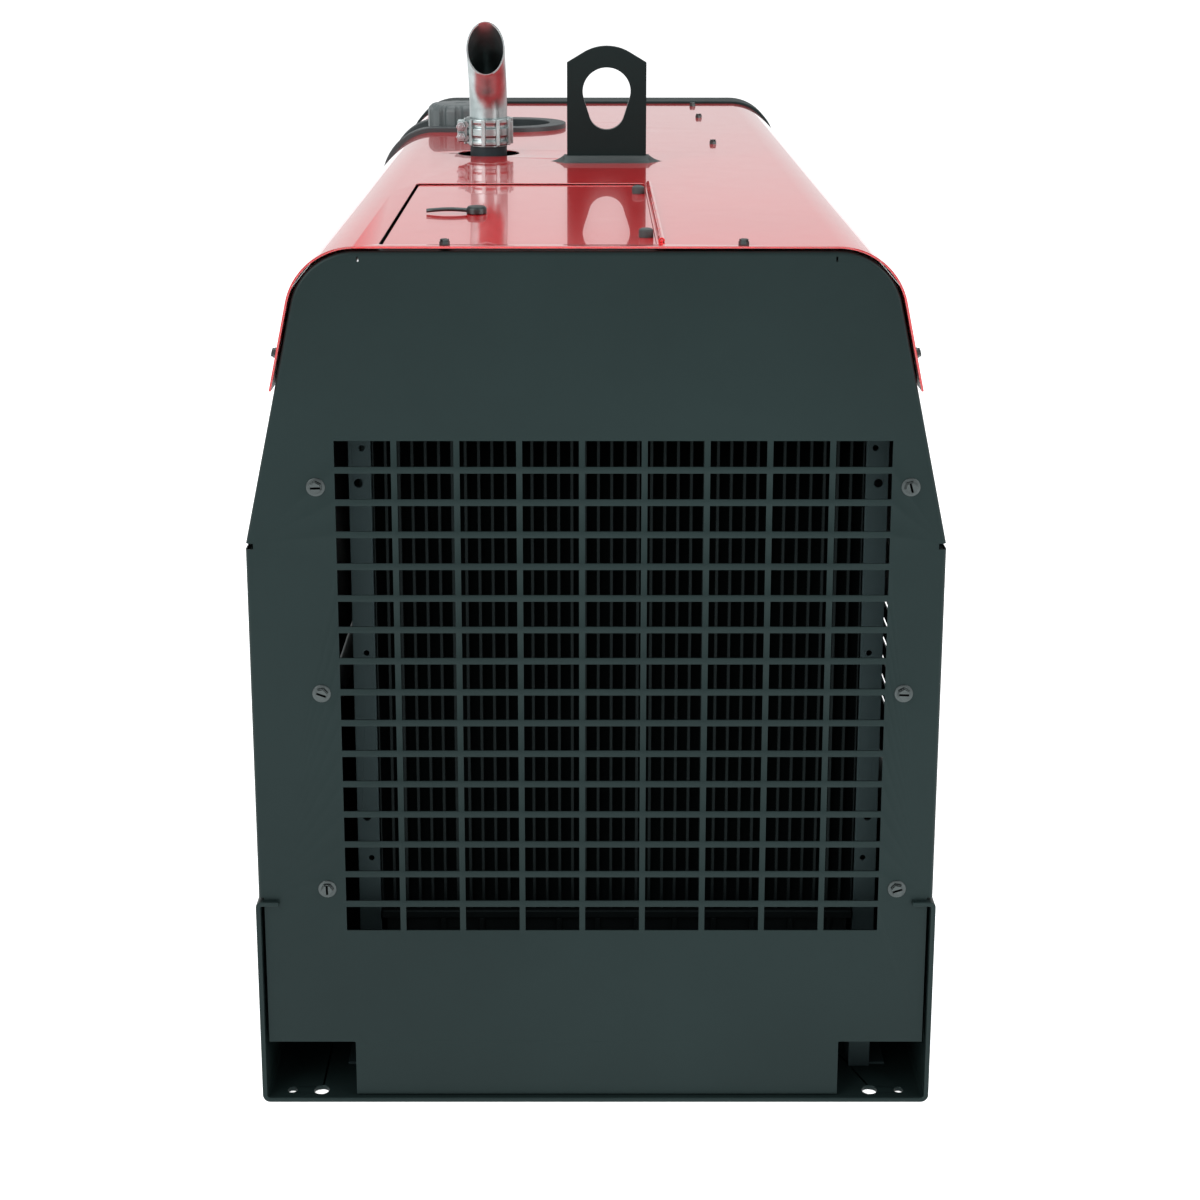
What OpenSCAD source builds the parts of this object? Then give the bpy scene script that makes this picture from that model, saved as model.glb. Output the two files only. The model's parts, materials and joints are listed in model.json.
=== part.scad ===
// Engine driven welder: sheet metal case on a base tray, radiator at -Y, control end at +Y, +Z up.
// The origin is on the floor, under the middle of the machine.

/* [Overall] */
// Length of the base tray
base_len = 1600; // [1520:10:2000]
// Width of the base tray
base_w = 705; // [660:5:860]
// Height of the hood's flat top above the floor
hood_top = 914; // [890:2:1100]
// Height of the base tray's side walls
base_h = 230; // [190:5:240]

/* [Case section] */
// Distance from the tray's side to the start of the shoulder
shoulder_in = 118.5; // [110:0.5:140]
// Radius of the rounded shoulder
shoulder_r = 68; // [50:1:80]
// Slope of the upper sides from the vertical, degrees
side_slope = 12; // [8:1:14]
// Step from the tray's side to the case's side
side_step = 2.5; // [2:0.5:5]
// Thickness of the hood sheet
hood_t = 2; // [1.5:0.5:3]
// Thickness of the side and end sheets
sheet_t = 2; // [1.5:0.5:3]
// Gap between the hood and the sheets inside it
hood_gap = 0.9; // [0.5:0.1:1.5]

/* [Base] */
// Thickness of the base tray's sheet
base_t = 5; // [3:0.5:6]
// Radius of the tray's bottom bends
base_bend = 8; // [7:0.5:12]
// Width of the tray's turned-in top lip
base_lip = 24; // [20:1:34]
// Radius of the large hold-down holes
tie_r = 8; // [5:0.5:9]
// Distance from the hold-down holes to the tray's sides
tie_in_x = 60.5; // [55:0.5:70]
// Distance from the holes to the tray's ends
tie_in_y = 16; // [14:1:24]
// Radius of the small holes beside them
pilot_r = 5; // [3:0.5:6]
// Distance from the small holes to the tray's sides
pilot_in_x = 29.5; // [24:0.5:34]

/* [End panel] */
// Depth of the end panel's returned flange
flange = 43; // [30:1:50]
// Distance from the panel's face to the tray's end
panel_in_y = 5; // [5:0.5:8]
// Width and height of one grille opening
grille_open = [56, 26.7];
// Bars between the grille openings, across and up
grille_bar = [6, 6.6];
// Columns of grille openings
grille_cols = 9; // [5:1:9]
// Rows of grille openings
grille_rows = 16; // [8:1:16]
// Height of the grille's lowest opening
grille_z = 196; // [180:1:220]

/* [Engine] */
// Sideways offset of the engine, radiator and lifting eye
engine_x = 16; // [0:1:24]
// Height of the crankshaft's axis
crank_z = 330; // [320:5:340]
// Height of the fan's axis
fan_z = 500; // [490:5:505]
// Radius of the cooling fan
fan_r = 215; // [180:1:218]
// Radius of the generator's barrel
barrel_r = 200; // [185:1:202]

/* [Exhaust] */
// Distance of the exhaust stack from the middle
stack_x = 141; // [136:1:146]
// Outer radius of the exhaust elbow
elbow_r = 25; // [22:0.5:27]
// Wall of the exhaust elbow
elbow_wall = 2; // [1.5:0.5:3]
// Radius of the elbow's bend
elbow_bend = 60; // [50:1:75]
// Distance from the stack's axis to the elbow's upright cut
elbow_reach = 58; // [50:1:64]
// Radius of the hood's hole round the stack
stack_hole_r = 41.5; // [36:0.5:44]

/* [Lifting eye] */
// Width of the lifting eye's plate
bail_w = 102; // [90:1:110]
// Thickness of the plate
bail_t = 12; // [8:1:16]
// Height of the eye's crown above the hood
bail_rise = 150; // [140:1:170]
// Radius of the eye's hole
eye_r = 30.8; // [24:0.2:32]

/* [Doors] */
// Largest gap round the doors
door_gap = 4; // [3:0.5:6]
// Radius of the door hinge barrels
hinge_r = 5; // [4.5:0.5:6]
// Radius of the door hinge pins
hinge_pin_r = 3; // [2:0.5:3.5]
// Filler door across and along
filler_size = [269, 458];
// Gap round the filler door
filler_gap = 3; // [2:0.5:4]

/* [Controls] */
// Radius of the output studs
stud_r = 6.35; // [5:0.05:8]
// Radius of the large knobs
knob_r = 30; // [24:1:34]

/* [Hidden] */
$fn = 64;
run = 0.05;                                  // radial clearance of a turning fit
seat = 0.3;                                  // gap between pieces that rest on each other
panel_in = hood_t + hood_gap;                // end and side sheets, set in from the hood's skin
base_top = base_h;
half_len = base_len/2;
half_w = base_w/2;
cx = half_w - shoulder_in;                   // centre of the shoulder arc, across
cz = hood_top - shoulder_r;                  // and up
side_x = half_w - side_step;                 // the case's vertical side
hood_low = cz - 74;                          // lower edge of the hood's sides
door_top = hood_low - door_gap;
door_low = base_top + door_gap;
face_y = -half_len + panel_in_y;             // outer face of the radiator end panel
flange_y = face_y + flange;
panel_half = half_w - 8.5;                   // end sheets inside the tray's walls
split_y = half_len - 595;                    // rear edge of the doors' openings
hood_end = half_len - 75.5;                  // hood's edge at the control end
panel_y = half_len - 40;                     // face of the control panel
frame_y = half_len - 75;
rail_x = 130;                                // base rails, each side of the engine
rail_h = 80;
rail_w = 50;
mount_h = 40;
mount_y = [-360, 480];
foot_z = base_t + rail_h + mount_h;          // underside of the engine's feet
block_y = [-420, 60];
belt_y = [-470, -446];
bail_y = -96;
bail_foot = hood_top - 18;                   // top of the lifting beam
post_x = [225, 265];
rad_x = engine_x + 7;
rad_half = 251;
core_y = [-735, -679];
core_z = [190, 740];
muffler_z = hood_top - 129;
muffler_r = 68;
stack_y = -4;
spigot_z = [hood_top + 12, hood_top + 51];
alt_pos = [-155, 540];
cap_pos = [-199, 340];
tray_y = [261, 422];
tray_x = -122;
rad_cap_pos = [-60, -707];
hinge_x = 64;                                // filler door hinge, across
hinge_z = hood_top + 3.5;
filler_r = 3.25;
filler_x = [hinge_x - 5 - filler_size[0] + 1, hinge_x - 5];
filler_y = [-780, -780 + filler_size[1]];
bumper_y = [-723, -396];
lever_pos = [-128, -560];
door_pin = [side_x + 6, split_y - 2];        // door hinge axis
door_hinges_z = [290, 500];
knuckle = 30;
latch_pos = [-700, 480];
shelf_z = 553;
cover_x = [110, 280];
cover_axis = [panel_y + 7, 421];
lid_axis = [panel_y + 7, 531];
lid_x = [-280, -120];
knob_pos = [150, 660];                       // centre lines on the control panel, as [x, z]
arc_pos = [60, 660];
mode_pos = [-40, 660];
switch_pos = [-130, 660];
button_pos = [-210, 660];
gauge_x = [-150, -50, 50, 150];
gauge_z = 770;
stem_r = 4;                                  // stems of the knobs and of the selector
switch_r = 6;
button_r = 9;
stud_in = 35;                                // studs, each side of the output cover's middle
stud_z = 350;
knob_h = 24;
screw_r = 7.35;                              // washer radius of the hood's screws
screw_h = 9;
side_screw_h = 8;
side_screw_drop = 108;
panel_screw_r = 9.5;
panel_screw_h = 5;
corner_h = 68;                               // cut-outs at the end panel's lower corners
corner_x = [-253, 256];
notch = [10, 6];                             // relief notches at the end panel's knees
lip_chamfer = 6;
boss = 60;                                   // engine and generator feet
head_half = 85;                              // half widths of the engine's head and crankcase
case_half = 120;
pulley_r = [60, 55, 32];                     // crankshaft, fan and alternator
shaft_r = 12;
journal_r = 30;
rotor_r = 142;
belt_t = 9;
shroud_r = fan_r + 12;
bend_z = hood_top + 61;                      // start of the exhaust elbow's bend
cap_r = 49;                                  // fuel cap
cap_bore = 41;
neck_r = 30;
neck_bore = 24;
post_r = 8;
slot = [80, 7];                              // louvres in the side sheets
slot_pitch = [110, 24];
slot_z = 300;
lever_r = 4;
pin_r = 1.6;                                 // filler door's hinge pin
cover_pin_r = 2;

// ---- section of the case: d is the distance inside the hood's outer skin ----

function slope_x(z, d) = cx + (shoulder_r - d)/cos(side_slope) + (cz - z)*tan(side_slope);
function flat_x(d) = side_x + panel_in - d;
function knee_z(d) = cz - (flat_x(d) - cx - (shoulder_r - d)/cos(side_slope))/tan(side_slope);

module both() { children(); mirror([1, 0, 0]) children(); }

module case_2d(d, z0) {
    r = shoulder_r - d;
    right = [[flat_x(d), 0], [flat_x(d), knee_z(d)],
        [cx + r*cos(side_slope), cz + r*sin(side_slope)], [cx, cz + r]];
    intersection() {
        union() {
            polygon(concat(right, [for (i = [3:-1:0]) [-right[i][0], right[i][1]]]));
            for (s = [-1, 1]) translate([s*cx, cz]) circle(r, $fn = 180);
        }
        band(z0, 2*hood_top);
    }
}

module along(y0, y1) { translate([0, y1, 0]) rotate([90, 0, 0]) linear_extrude(y1 - y0) children(); }

module band(z0, z1, half = 2*half_w) { translate([-half, z0]) square([2*half, z1 - z0]); }

// Case outline that narrows inside the tray's walls.
module end_2d(d, half) {
    intersection() {
        case_2d(d, 7);
        union() { band(0, base_top + 2, half); band(base_top + 2, 2*hood_top); }
    }
}

module shell_2d(d, t, z0) { difference() { case_2d(d, z0); case_2d(d + t, z0 - 1); } }

module tube(r, r_in, h) difference() {
    cylinder(h, r = r);
    translate([0, 0, -1]) cylinder(h + 2, r = r_in);
}

module on_y(x, y, z) { translate([x, y, z]) rotate([-90, 0, 0]) children(); }

module hex_screw(washer_r, h) {
    cylinder(h/5, r = washer_r);
    difference() {
        cylinder(h, r = washer_r*0.72, $fn = 6);
        translate([-washer_r, -0.8, h - 1.6]) cube([2*washer_r, 1.6, 2]);
    }
}

// ---- base and frame ----

module tray_2d(w, h, bend, chamfer, z0) {
    polygon([[-w, z0 + bend], [-w + bend, z0], [w - bend, z0], [w, z0 + bend], [w, h - chamfer],
        [w - chamfer, h], [-w + chamfer, h], [-w, h - chamfer]]);
    for (s = [-1, 1]) translate([s*(w - bend), z0 + bend]) circle(bend);
}

module base_tray() color("dimgray") difference() {
    along(-half_len, half_len) difference() {
        tray_2d(half_w, base_h, base_bend, lip_chamfer, 0);
        tray_2d(half_w - base_t, base_h - base_t, base_bend - base_t, lip_chamfer - 2.5, base_t);
        band(base_h - 2*base_t, base_h + 1, half_w - base_lip);
    }
    for (s = [-1, 1]) translate([-panel_half - 0.5, s*half_len - (s > 0 ? 60 : 0), base_h - base_t - 1])
        cube([2*panel_half + 1, 60, base_t + 2]);
    for (x = [-1, 1], y = [-1, 1]) {
        translate([x*(half_w - tie_in_x), y*(half_len - tie_in_y), -1]) cylinder(base_t + 2, r = tie_r);
        translate([x*(half_w - pilot_in_x), y*(half_len - tie_in_y), -1]) cylinder(base_t + 2, r = pilot_r);
    }
}

module base_rails() color("dimgray") for (s = [-1, 1])
    along(-560, 600) translate([engine_x + s*rail_x, base_t + rail_h/2]) difference() {
        square([rail_w, rail_h], center = true);
        square([rail_w - 8, rail_h - 8], center = true);
    }

module rubber_mounts() color("black") for (s = [-1, 1], y = mount_y)
    translate([engine_x + s*rail_x, y, base_t + rail_h]) rotate_extrude()
        polygon([[0, 0], [24, 0], [24, 4], [19, mount_h/2], [24, mount_h - 4], [24, mount_h], [0, mount_h]]);

module lift_frame() color("dimgray") {
    difference() {
        union() {
            translate([-post_x[1], bail_y - 30, bail_foot - 40]) cube([2*post_x[1], 60, 40]);
            for (s = [-1, 1]) translate([s > 0 ? post_x[0] : -post_x[1], bail_y - 30, base_t])
                cube([post_x[1] - post_x[0], 60, bail_foot - base_t - 20]);
        }
        for (s = [-1, 1]) translate([(s > 0 ? post_x[0] : -post_x[1]) + 4, bail_y - 26, base_t - 1])
            cube([post_x[1] - post_x[0] - 8, 52, bail_foot - base_t - 50]);
    }
}

module lift_bail() color("dimgray") {
    eye_z = hood_top + bail_rise - 58;
    tilt = asin((eye_r - 23)/26);
    lean = atan2(hood_top + bail_rise - 21 - eye_z, bail_w/2);
    side = norm([bail_w/2, bail_rise - 21 + hood_top - eye_z]);
    touch = lean + acos(58/side);
    translate([engine_x, bail_y + bail_t/2, 0]) rotate([90, 0, 0]) linear_extrude(bail_t) difference() {
        union() {
            polygon([[-bail_w/2, bail_foot], [bail_w/2, bail_foot], [bail_w/2, hood_top + bail_rise - 21],
                [58*cos(touch), eye_z + 58*sin(touch)], [-58*cos(touch), eye_z + 58*sin(touch)],
                [-bail_w/2, hood_top + bail_rise - 21]]);
            intersection() {
                translate([0, eye_z]) circle(58, $fn = 128);
                translate([-58*cos(touch), eye_z]) square([116*cos(touch), 60]);
            }
        }
        translate([0, eye_z]) circle(eye_r, $fn = 128);
        translate([0, eye_z - 26]) circle(23, $fn = 128);
        polygon([[eye_r*cos(tilt), eye_z - eye_r*sin(tilt)], [23*cos(tilt), eye_z - 26 - 23*sin(tilt)],
            [-23*cos(tilt), eye_z - 26 - 23*sin(tilt)], [-eye_r*cos(tilt), eye_z - eye_r*sin(tilt)]]);
    }
}

module bail_boot() color("dimgray") translate([engine_x, bail_y, hood_top]) difference() {
    hull() {
        linear_extrude(1.5) polygon([[-79.5, 0], [-52, -30], [52, -30], [79.5, 0], [52, 30], [-52, 30]]);
        translate([-bail_w/2 - 4, -bail_t/2 - 4, 9]) cube([bail_w + 8, bail_t + 8, 1]);
    }
    translate([-bail_w/2 - seat, -bail_t/2 - seat, -1]) cube([bail_w + 2*seat, bail_t + 2*seat, 20]);
}

// The sheet across the case behind the doors, the tank's shelf and the rear hoop.
module bulkhead() color("dimgray") {
    inner = panel_in + sheet_t + 0.4;
    for (y = [split_y + 3, 600]) along(y, y + 4) difference() {
        intersection() {
            case_2d(inner, base_t);
            union() { band(base_t, base_top + 2, half_w - base_lip - 1); band(base_top + 2, 2*hood_top); }
        }
        band(0, shelf_z, 270);
        if (y > 500) band(shelf_z + 20, cz, 240);
    }
    translate([-300, split_y + 5, shelf_z]) cube([600, 600 - split_y - 3, 3]);
}

// ---- case ----

module grille_2d() {
    pitch = grille_open + grille_bar;
    for (i = [0:grille_cols - 1], j = [0:grille_rows - 1])
        translate([engine_x + 1 + (i - grille_cols/2)*pitch[0] + grille_bar[0]/2, grille_z + j*pitch[1]])
            square(grille_open);
}

module end_panel() color("dimgray") {
    along(face_y, face_y + sheet_t) difference() {
        end_2d(panel_in, panel_half);
        grille_2d();
        for (s = [[-panel_half, corner_x[0]], [corner_x[1], panel_half]])
            translate([s[0] - 1, 0]) square([s[1] - s[0] + 2, corner_h]);
        translate([-half_w, corner_h - seat]) square([base_w, seat]);
        for (x = [-232, 232]) translate([x, hood_top - panel_in - 8]) square([2, 5]);
        for (s = [-1, 1]) translate([s*flat_x(panel_in), knee_z(panel_in)]) square(notch, center = true);
    }
    along(face_y, flange_y) intersection() {
        difference() { end_2d(panel_in, panel_half); end_2d(panel_in + sheet_t, panel_half - sheet_t); }
        band(base_top + 4, 2*hood_top);
    }
}

module panel_screws() color("gray") {
    for (x = [-278, 312], z = [243, 458, 675])
        translate([x, face_y, z]) rotate([90, 0, 0]) hex_screw(panel_screw_r, panel_screw_h);
    for (x = [-315, 315], z = [60, 280, 500]) on_y(x, panel_y, z) hex_screw(8, panel_screw_h);
    for (x = [-240, 0, 240]) on_y(x, panel_y, hood_top - 35) hex_screw(8, panel_screw_h);
}

// Plan outline of the fuel spill tray, set in by d, run out past the left side.
module tray_plan(d) {
    w = tray_y[1] - tray_y[0];
    translate([tray_x, (tray_y[0] + tray_y[1])/2, 0]) cylinder(2*hood_top, r = w/2 - d, $fn = 96);
    translate([tray_x - 400, tray_y[0] + d, 0]) cube([400, w - 2*d, 2*hood_top]);
}

module hood() color("firebrick") difference() {
    along(face_y, hood_end) shell_2d(0, hood_t, hood_low);
    translate([filler_x[0] - filler_gap, filler_y[0] - filler_gap, hood_top - 20])
        cube([filler_size[0] - 1 + 2*filler_gap, filler_size[1] + 2*filler_gap, 40]);
    translate([engine_x - bail_w/2 - 5, bail_y - 14, hood_top - 20]) cube([bail_w + 10, 28, 40]);
    translate([-stack_x, stack_y, hood_top - 20]) cylinder(40, r = stack_hole_r);
    intersection() {
        tray_plan(16);
        translate([-half_w, 0, hood_top - 72]) cube([base_w, half_len, 200]);
    }
}

module hood_screws() color("dimgray") {
    for (x = [-147, 143]) translate([x, face_y + 9, hood_top]) hex_screw(screw_r, screw_h);
    for (s = [-1, 1], y = [107, 484, 680]) translate([s*166, y, hood_top]) hex_screw(screw_r, screw_h);
    side_z = hood_top - side_screw_drop;
    both() for (y = [face_y + 20, 690]) translate([slope_x(side_z, -run), y, side_z])
        rotate([0, 90 - side_slope, 0]) hex_screw(screw_r, side_screw_h);
}

module fuel_spill_tray() color("black") difference() {
    union() {
        intersection() {
            along(tray_y[0], tray_y[1]) shell_2d(-9, 9 - seat, hood_top - 76);
            tray_plan(0);
        }
        intersection() {
            along(tray_y[0], tray_y[1]) shell_2d(-9, 25, hood_top - 70);
            tray_plan(17);
        }
    }
    intersection() {
        along(tray_y[0], tray_y[1]) difference() { case_2d(-30, 400); case_2d(13, 300); }
        tray_plan(24);
    }
    translate([cap_pos[0], cap_pos[1], hood_top - 30]) cylinder(40, r = 32);
}

module front_frame() color("black") {
    along(frame_y, half_len) intersection() { shell_2d(-6, 3, base_top + 2); band(base_top + 2, 2*hood_top); }
    for (y = [frame_y, half_len - 3]) along(y, y + 3) difference() {
        case_2d(-6, base_top + 2);
        case_2d(y > frame_y ? 16 : 10, base_top - 5);
    }
}

module control_panel() color("dimgray") along(panel_y - sheet_t, panel_y) difference() {
    end_2d(-2.7, panel_half);
    for (p = [knob_pos, arc_pos, mode_pos]) translate(p) circle(stem_r + run);
    translate(switch_pos) circle(switch_r + 2*run);
    translate(button_pos) circle(button_r + 2*run);
    for (k = [-1, 1]) translate([(cover_x[0] + cover_x[1])/2 + stud_in*k, stud_z]) circle(12);
    for (i = [0:5], s = [-1, 1]) translate([s*150 - 90, 50 + 24*i]) square([180, 8]);
}

// One side's sheet between two stations along the case.
module side_sheet(y0, y1) {
    along(y0, y1) intersection() {
        shell_2d(panel_in, sheet_t, 0);
        translate([50, door_low]) square([half_w, door_top - door_low]);
    }
}

module slots(y0, count, z0, rows) {
    for (i = [0:count - 1], j = [0:rows - 1])
        translate([side_x - 10, y0 + slot_pitch[0]*i, z0 + slot_pitch[1]*j]) cube([20, slot[0], slot[1]]);
}

module side_panels() color("black") both() difference() {
    side_sheet(split_y, frame_y - 3);
    slots(split_y + 150, 3, slot_z, 10);
}

module door_body() {
    difference() {
        union() {
            side_sheet(flange_y + door_gap, split_y - 7);
            for (z = door_hinges_z, k = [-1, 1]) translate([0, 0, z + k*(knuckle + 1) - knuckle/2]) {
                translate([door_pin[0], door_pin[1], 0]) cylinder(knuckle, r = hinge_r);
                translate([side_x, split_y - 40, 0]) cube([3, 38, knuckle]);
            }
        }
        for (z = door_hinges_z) translate([door_pin[0], door_pin[1], z - 60])
            cylinder(120, r = hinge_pin_r + run);
        translate([side_x - 10, latch_pos[0], latch_pos[1]]) rotate([0, 90, 0]) cylinder(20, r = 6 + run);
        slots(flange_y + 60, 4, slot_z, 6);
    }
}

module right_door() color("black") door_body();
module left_door() color("black") mirror([1, 0, 0]) door_body();

module door_hinges() color("gray") both() for (z = door_hinges_z) {
    translate([door_pin[0], door_pin[1], z - 1.5*knuckle - 2]) cylinder(3*knuckle + 4, r = hinge_pin_r);
    translate([door_pin[0], door_pin[1], z - knuckle/2]) cylinder(knuckle, r = hinge_r);
    translate([side_x, split_y + 0.5, z - knuckle/2]) cube([3, 36, knuckle]);
    translate([side_x + 1.5, split_y - 2, z - knuckle/2]) cube([1.5, 4, knuckle]);
}

module latch_body() translate([side_x, latch_pos[0], latch_pos[1]]) rotate([0, 90, 0]) {
    translate([0, 0, seat]) cylinder(4, r = 18);
    translate([-15, -4, seat]) cube([30, 8, 9]);
    translate([0, 0, -8]) cylinder(9, r = 6);
    translate([-20, -8, -7]) cube([28, 16, 3]);
}

module right_door_latch() color("silver") latch_body();
module left_door_latch() color("silver") mirror([1, 0, 0]) latch_body();

// ---- filler door in the hood ----

module filler_knuckles(first) {
    seg = (filler_size[1] - 22)/7;
    for (i = [first:2:6]) translate([hinge_x, filler_y[0] + 11 + i*seg + 0.5, hinge_z]) rotate([-90, 0, 0])
        children(0);
}

module filler_seg(side) {
    seg = (filler_size[1] - 22)/7 - 1;
    cylinder(seg, r = filler_r);
    translate([side > 0 ? 0 : -6, 1.5, 0]) cube([6, 1.75, seg]);
}

module filler_door() color("firebrick") difference() {
    union() {
        translate([filler_x[0], filler_y[0], hood_top - hood_t])
            cube([filler_size[0] - 1, filler_size[1], hood_t]);
        filler_knuckles(1) filler_seg(-1);
        translate([hinge_x - 6, filler_y[0] + 11, hood_top - 0.2]) cube([1, filler_size[1] - 22, 0.45]);
    }
    on_y(hinge_x, filler_y[0] - 1, hinge_z) cylinder(filler_size[1] + 2, r = pin_r + run);
    translate([lever_pos[0], lever_pos[1], hood_top - 10]) cylinder(20, r = lever_r + run);
}

module filler_door_hinge() color("firebrick") {
    on_y(hinge_x, filler_y[0] + 11, hinge_z) cylinder(filler_size[1] - 22, r = pin_r);
    filler_knuckles(0) filler_seg(1);
}

module filler_door_latch() color("dimgray") translate([lever_pos[0], lever_pos[1], hood_top]) {
    translate([0, 0, seat]) cylinder(8, r = 11);
    translate([-54, -4, seat]) cube([54, 8, 5]);
    translate([0, 0, -8]) cylinder(9, r = lever_r);
    translate([-30, -7, -8]) cube([36, 14, 3]);
}

module filler_door_bumpers() color("black") for (y = bumper_y) translate([hinge_x - 14, y, hood_top])
    rotate_extrude() polygon([[0, 0], [7.35, 0], [7.35, 7], [6, 9], [0, 9]]);

// ---- exhaust ----

module muffler() color("gray") {
    difference() {
        union() {
            on_y(-stack_x, -260, muffler_z) cylinder(440, r = muffler_r);
            translate([-stack_x, stack_y, muffler_z]) cylinder(spigot_z[0] - muffler_z, r = elbow_r - 0.5);
            translate([-stack_x, stack_y, muffler_z])
                cylinder(spigot_z[1] - muffler_z, r = elbow_r - elbow_wall - 0.2);
            translate([-stack_x, -150, muffler_z - muffler_r - 20]) cylinder(40, r = 22);
        }
        translate([-stack_x, stack_y, muffler_z]) cylinder(300, r = elbow_r - elbow_wall - 2.5);
    }
}

module exhaust_downpipe() color("gray") {
    z = 580;
    top = muffler_z - muffler_r - 20;
    translate([-stack_x, -150, z]) cylinder(top - z, r = 20);
    translate([-stack_x, -150, top - 8]) cylinder(8, r = 32);
    translate([-stack_x, -150, z]) sphere(20);
    translate([-stack_x, -150, z]) rotate([0, 90, 0]) cylinder(stack_x + engine_x - head_half, r = 20);
    translate([engine_x - 95, -180, z - 30]) cube([10, 60, 60]);
}

// A pipe that rises, leans 45 degrees towards -Y and runs on straight, there thinner by neck.
module bent_pipe(r, z0, z1, bend, neck) {
    translate([0, 0, z0]) cylinder(z1 - z0, r = r);
    translate([0, -bend, z1]) rotate([90, 0, 90]) rotate_extrude(angle = 45, $fn = 96)
        translate([bend, 0]) circle(r);
    translate([0, -bend*(1 - cos(45)), z1 + bend*sin(45)]) rotate([45, 0, 0])
        translate([0, 0, -1]) cylinder(121, r = r - neck);
}

module exhaust_elbow() color("silver") translate([-stack_x, stack_y, 0]) difference() {
    bent_pipe(elbow_r, spigot_z[0] + seat, bend_z, elbow_bend, 0.1);
    bent_pipe(elbow_r - elbow_wall, spigot_z[0] - 5, bend_z, elbow_bend, -0.1);
    translate([-60, -elbow_reach - 200, hood_top]) cube([120, 200, 300]);
}

module exhaust_clamp() color("silver") translate([-stack_x, stack_y, hood_top + 14]) {
    difference() {
        union() {
            cylinder(36, r = elbow_r + 4);
            translate([-43, -12, 4]) cube([24, 24, 28]);
        }
        translate([0, 0, -1]) cylinder(40, r = elbow_r + 0.2);
        translate([-44, -3, 3]) cube([30, 6, 30]);
    }
    for (z = [11, 25]) on_y(-36, -19, z) { cylinder(38, r = 4); cylinder(6, r = 7, $fn = 6); }
}

// ---- fuel ----

module fuel_tank() color("black") difference() {
    union() {
        translate([-275, split_y + 35, shelf_z + 3]) cube([550, 340, cz - shelf_z - 3]);
        translate([cap_pos[0], cap_pos[1], cz - 10]) cylinder(hood_top - cz + 10, r = neck_r);
    }
    translate([cap_pos[0], cap_pos[1], cz - 40]) cylinder(200, r = neck_bore);
}

module fuel_cap_insert() color("dimgray") translate([cap_pos[0], cap_pos[1], hood_top]) {
    translate([0, 0, -30]) cylinder(31, r = neck_bore - seat);
    translate([0, 0, seat]) cylinder(17 - seat, r = neck_r);
    cylinder(32, r = post_r);
}

module fuel_cap() color("dimgray") translate([cap_pos[0], cap_pos[1], hood_top]) difference() {
    translate([0, 0, 3]) cylinder(35, r = cap_r, $fn = 96);
    translate([0, 0, 2]) cylinder(15 + seat, r = cap_bore);
    translate([0, 0, 5]) cylinder(27.5, r = post_r + run);
    for (i = [0:11]) rotate(30*i) translate([cap_r + 3, 0, -1]) cylinder(34, r = 7);
}

// ---- cooling ----

module radiator_core() color("dimgray")
    translate([rad_x - rad_half, core_y[0], core_z[0]])
        cube([2*rad_half, core_y[1] - core_y[0], core_z[1] - core_z[0]]);

module radiator_tanks() color("black") {
    for (z = [core_z[0] - 60, core_z[1]]) translate([rad_x - rad_half, core_y[0] - 5, z])
        cube([2*rad_half, core_y[1] - core_y[0] + 10, 60]);
    translate([rad_cap_pos[0], rad_cap_pos[1], core_z[1] + 50]) tube(22, 16, 50);
}

module radiator_brackets() color("gray") for (s = [-1, 1]) translate([rad_x + s*(rad_half + 1), 0, 0]) {
    difference() {
        translate([s > 0 ? 0 : -23, core_y[0] - 3, base_t]) cube([23, 3, 785]);
        for (z = [250, 480, 700]) on_y(s*9, core_y[0] - 5, z) cylinder(8, r = 3);
        for (z = [297, 663]) on_y(s*13, core_y[0] - 5, z) cylinder(8, r = 4.5);
    }
    translate([s > 0 ? 0 : -3, core_y[0], base_t]) cube([3, core_y[1] - core_y[0] + 8, 785]);
    translate([s > 0 ? 0 : -40, core_y[0], base_t]) cube([40, core_y[1] - core_y[0] + 8, 3]);
}

module radiator_cap() color("silver") translate([rad_cap_pos[0], rad_cap_pos[1], core_z[1] + 100])
difference() {
    union() {
        translate([0, 0, -9]) cylinder(17, r = 28);
        translate([-36, -9, -4]) cube([72, 18, 12]);
    }
    translate([0, 0, -20]) cylinder(20 + seat, r = 22 + seat);
}

module fan_shroud() color("black") {
    w = rad_half - 1;
    difference() {
        translate([rad_x - w, core_y[1], core_z[0] + 5]) cube([2*w, 36, core_z[1] - core_z[0] - 10]);
        translate([rad_x - w + 3, core_y[1] - 1, core_z[0] + 8])
            cube([2*w - 6, 34, core_z[1] - core_z[0] - 16]);
        on_y(engine_x, core_y[1] + 20, fan_z) cylinder(40, r = shroud_r);
    }
    on_y(engine_x, core_y[1] + 33, fan_z) tube(shroud_r + 3, shroud_r, 55);
}

module fan() color("dimgray") {
    on_y(engine_x, -615, fan_z) cylinder(42, r = 60);
    for (i = [0:7]) translate([engine_x, -594, fan_z]) rotate([0, 45*i, 0]) translate([50, 0, 0])
        rotate([32, 0, 0]) translate([0, -2, -30]) cube([fan_r - 54, 4, 60]);
    on_y(engine_x, -580, fan_z) cylinder(172, r = shaft_r);
    on_y(engine_x, belt_y[0], fan_z) cylinder(belt_y[1] - belt_y[0], r = pulley_r[1]);
}

module pipe(points, r) {
    for (i = [0:len(points) - 2]) {
        v = points[i + 1] - points[i];
        translate(points[i]) rotate([0, acos(v[2]/norm(v)), atan2(v[1], v[0])]) cylinder(norm(v), r = r);
    }
    for (i = [1:len(points) - 2]) translate(points[i]) sphere(r + 0.6);
}

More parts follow.
